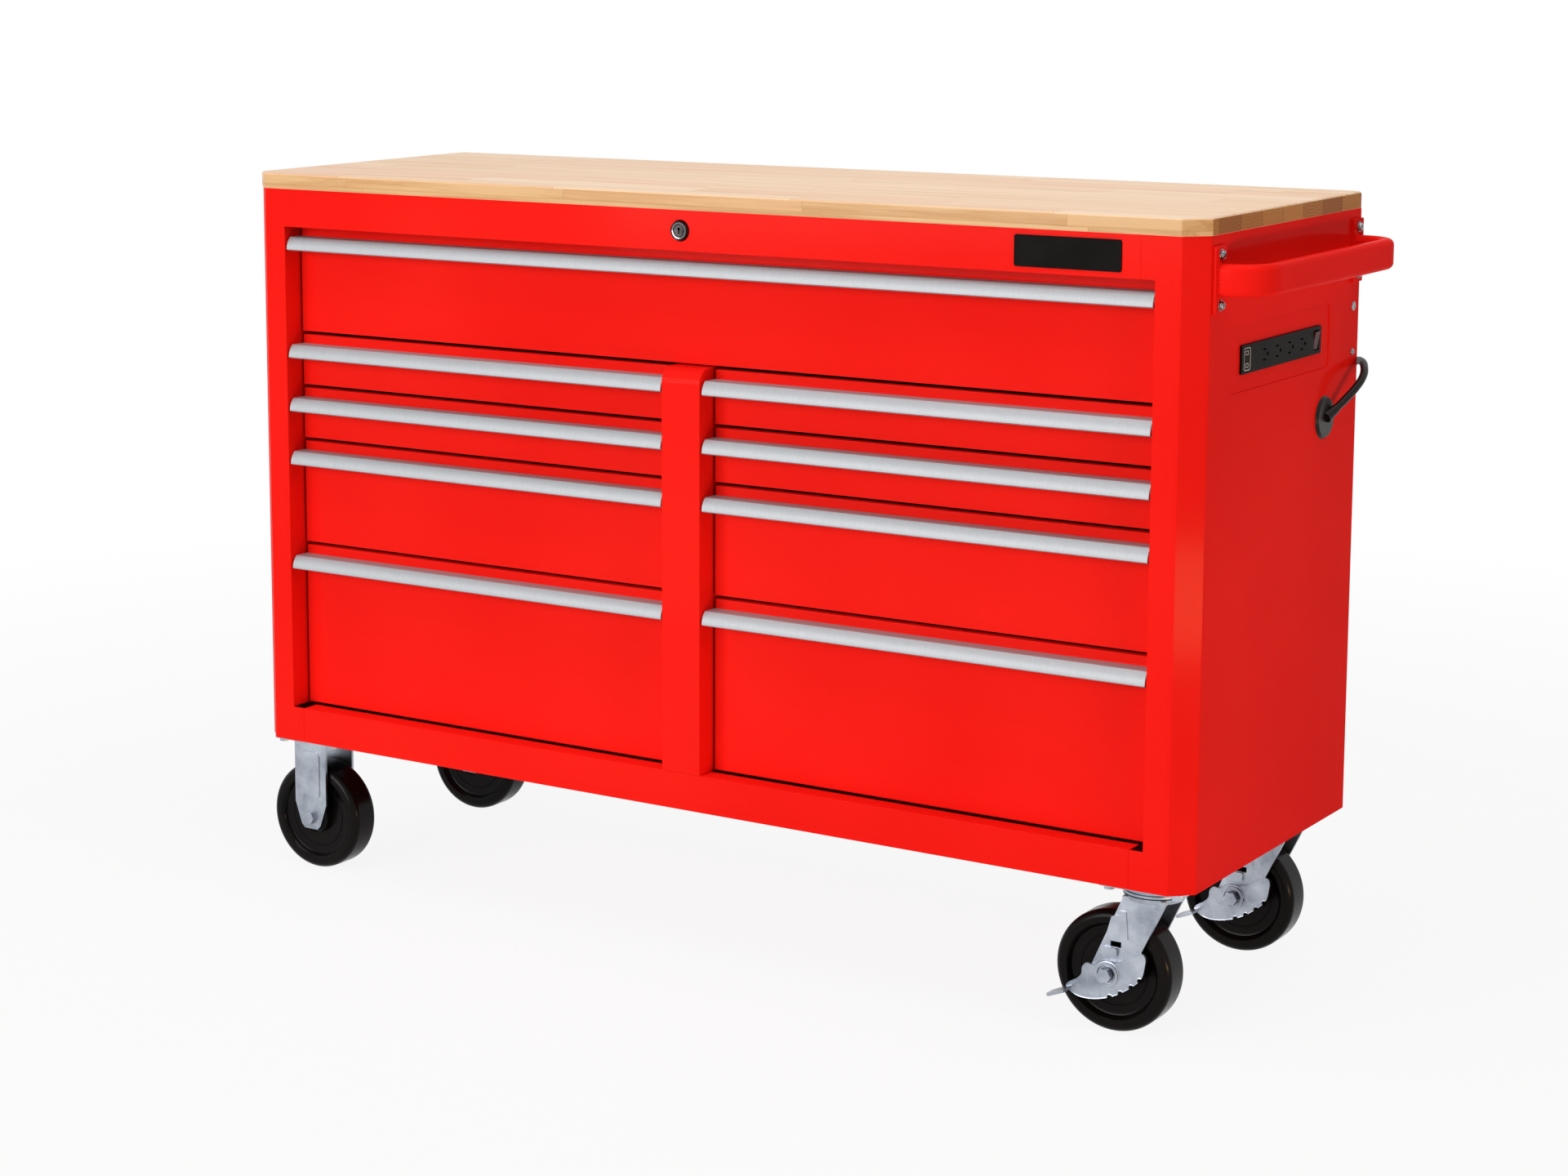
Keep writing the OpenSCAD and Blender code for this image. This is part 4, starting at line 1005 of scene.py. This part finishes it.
weld = {
    "radius": 0.0022,
    "stretch": 1.25,
    "pitch": 0.0045,
    "halfWide": 0.0095,
    "halfHigh": 0.019,
    "cornerReach": 0.005,
    "cornerIn": (0.72, 0.93),
    "fromEnd": 0.015,
    "out": 0.004,
    "segments": (8, 6),
    "sharp": 70,
}


def weldPath():
    # even steps round the tube's outline, as (across, up), with the corners drawn in
    wide, high = weld["halfWide"], weld["halfHigh"]
    length = 4 * (wide + high)
    count = round(length / weld["pitch"])
    for step in range(count):
        along = length * step / count
        if along < 2 * high:
            across, up = wide, along - high
        elif along < 2 * (high + wide):
            across, up = wide - (along - 2 * high), high
        elif along < 4 * high + 2 * wide:
            across, up = -wide, high - (along - 2 * high - 2 * wide)
        else:
            across, up = -wide + (along - 4 * high - 2 * wide), -high
        if abs(abs(across) - wide) + abs(abs(up) - high) < weld["cornerReach"]:
            across, up = across * weld["cornerIn"][0], up * weld["cornerIn"][1]
        yield across, up


def makeWelds():
    # a run of small weld scales round each end of the handle tube
    low, high = box("handle")
    x, z = low.x + weld["out"], (low.z + high.z) / 2
    aroundU, aroundV = weld["segments"]
    scale = Matrix.Diagonal((1, weld["stretch"], weld["stretch"], 1))
    for end, y in (("Front", low.y + weld["fromEnd"]), ("Rear", high.y - weld["fromEnd"])):
        shape = bmesh.new()
        for across, up in weldPath():
            seat = Matrix.Translation((x, y + across, z + up))
            bmesh.ops.create_uvsphere(shape, u_segments=aroundU, v_segments=aroundV,
                                      radius=weld["radius"], matrix=seat @ scale)
        newPiece("handleWeld" + end, shape, "cabinet", ["red_paint"],
                 sharp=weld["sharp"])


makeWelds()
print("fittings finished")

studio = {
    "floor": (215, 215, 214),
    "floorRoughness": 0.9,
    "floorSize": 9,
    "floorDrop": 0.0005,
    "paperShare": 0.9,
    "paperFrom": 1.3,
    "paperTo": 3.0,
    "sky": 0.22,
}
# each lamp's place, the point it faces, its width and height, power and colour
white = (1, 1, 1)
lamps = {
    "keyPanel": ((-1.6, -5.1, 1.7), (0, 0, 0.6), (3.4, 2.6), 176, white),
    "topPanel": ((0.4, -0.6, 4.2), (0, 0, 0.9), (4.0, 2.4), 92, white),
    "sidePanel": ((2.6, -1.6, 3.4), (0.7, 0, 0.5), (0.9, 0.9), 2, white),
    "warmCard": ((2.6, -0.9, 0.12), (0.6, -0.2, 0.08), (0.9, 0.2), 14, (1.0, 0.62, 0.3)),
}


def lamp(name, station, target, width, power, colour):
    data = bpy.data.lights.new(name, "AREA")
    data.shape = "RECTANGLE"
    data.size, data.size_y = width
    data.energy = power
    data.color = colour
    light = bpy.data.objects.new(name, data)
    light.location = station
    sight = Vector(target) - Vector(station)
    light.rotation_euler = sight.to_track_quat("-Z", "Y").to_euler()
    bpy.context.collection.objects.link(light)


def makeFloor():
    # the floor lights the chest as pale paper and shows as white, least so near its shadow
    shape = bmesh.new()
    bmesh.ops.create_grid(shape, x_segments=1, y_segments=1, size=studio["floorSize"])
    mesh = bpy.data.meshes.new("studioFloor")
    shape.to_mesh(mesh)
    shape.free()
    floor = bpy.data.objects.new("studioFloor", mesh)
    floor.location.z = -studio["floorDrop"]
    bpy.context.collection.objects.link(floor)
    surface = {"Roughness": studio["floorRoughness"], "Base Color": tint(*studio["floor"])}
    finish = Finish("floorPaper", surface)
    rays = finish.node("LightPath").socket.node.outputs
    seen = Wire(finish, rays["Is Camera Ray"]) + Wire(finish, rays["Is Glossy Ray"])
    seen = seen + Wire(finish, rays["Is Transmission Ray"])
    paper = finish.node("Emission", values={"Color": (*white, 1), "Strength": 1.0})
    matt = Wire(finish, finish.shader.outputs[0])
    x, y = finish.axes()[:2]
    reach = (x * x + y * y).root()
    spread = (studio["paperFrom"], studio["paperTo"], studio["paperShare"], 1.0)
    share = (seen > 0.5) * finish.between(reach, *spread)
    mixed = finish.node("MixShader", values={0: share, 1: matt, 2: paper})
    finish.tree.links.new(mixed.socket, finish.tree.nodes["Material Output"].inputs["Surface"])
    mesh.materials.append(finish.material)


def makeWorld():
    # white to the camera and in reflections, and dimmer as a light
    world = bpy.data.worlds.new("studioWorld")
    world.use_nodes = True
    bpy.context.scene.world = world
    tree = world.node_tree
    sky = tree.nodes["Background"]
    rays = tree.nodes.new("ShaderNodeLightPath")
    seen = rays.outputs["Is Camera Ray"]
    for kind in ("Is Glossy Ray", "Is Transmission Ray"):
        either = tree.nodes.new("ShaderNodeMath")
        either.operation = "MAXIMUM"
        tree.links.new(seen, either.inputs[0])
        tree.links.new(rays.outputs[kind], either.inputs[1])
        seen = either.outputs[0]
    level = tree.nodes.new("ShaderNodeMapRange")
    tree.links.new(seen, level.inputs["Value"])
    level.inputs["To Min"].default_value = studio["sky"]
    level.inputs["To Max"].default_value = 1.0
    tree.links.new(level.outputs[0], sky.inputs["Strength"])
    sky.inputs["Color"].default_value = (*white, 1)


for name, setting in lamps.items():
    lamp(name, *setting)
makeFloor()
makeWorld()
print("studio lit")
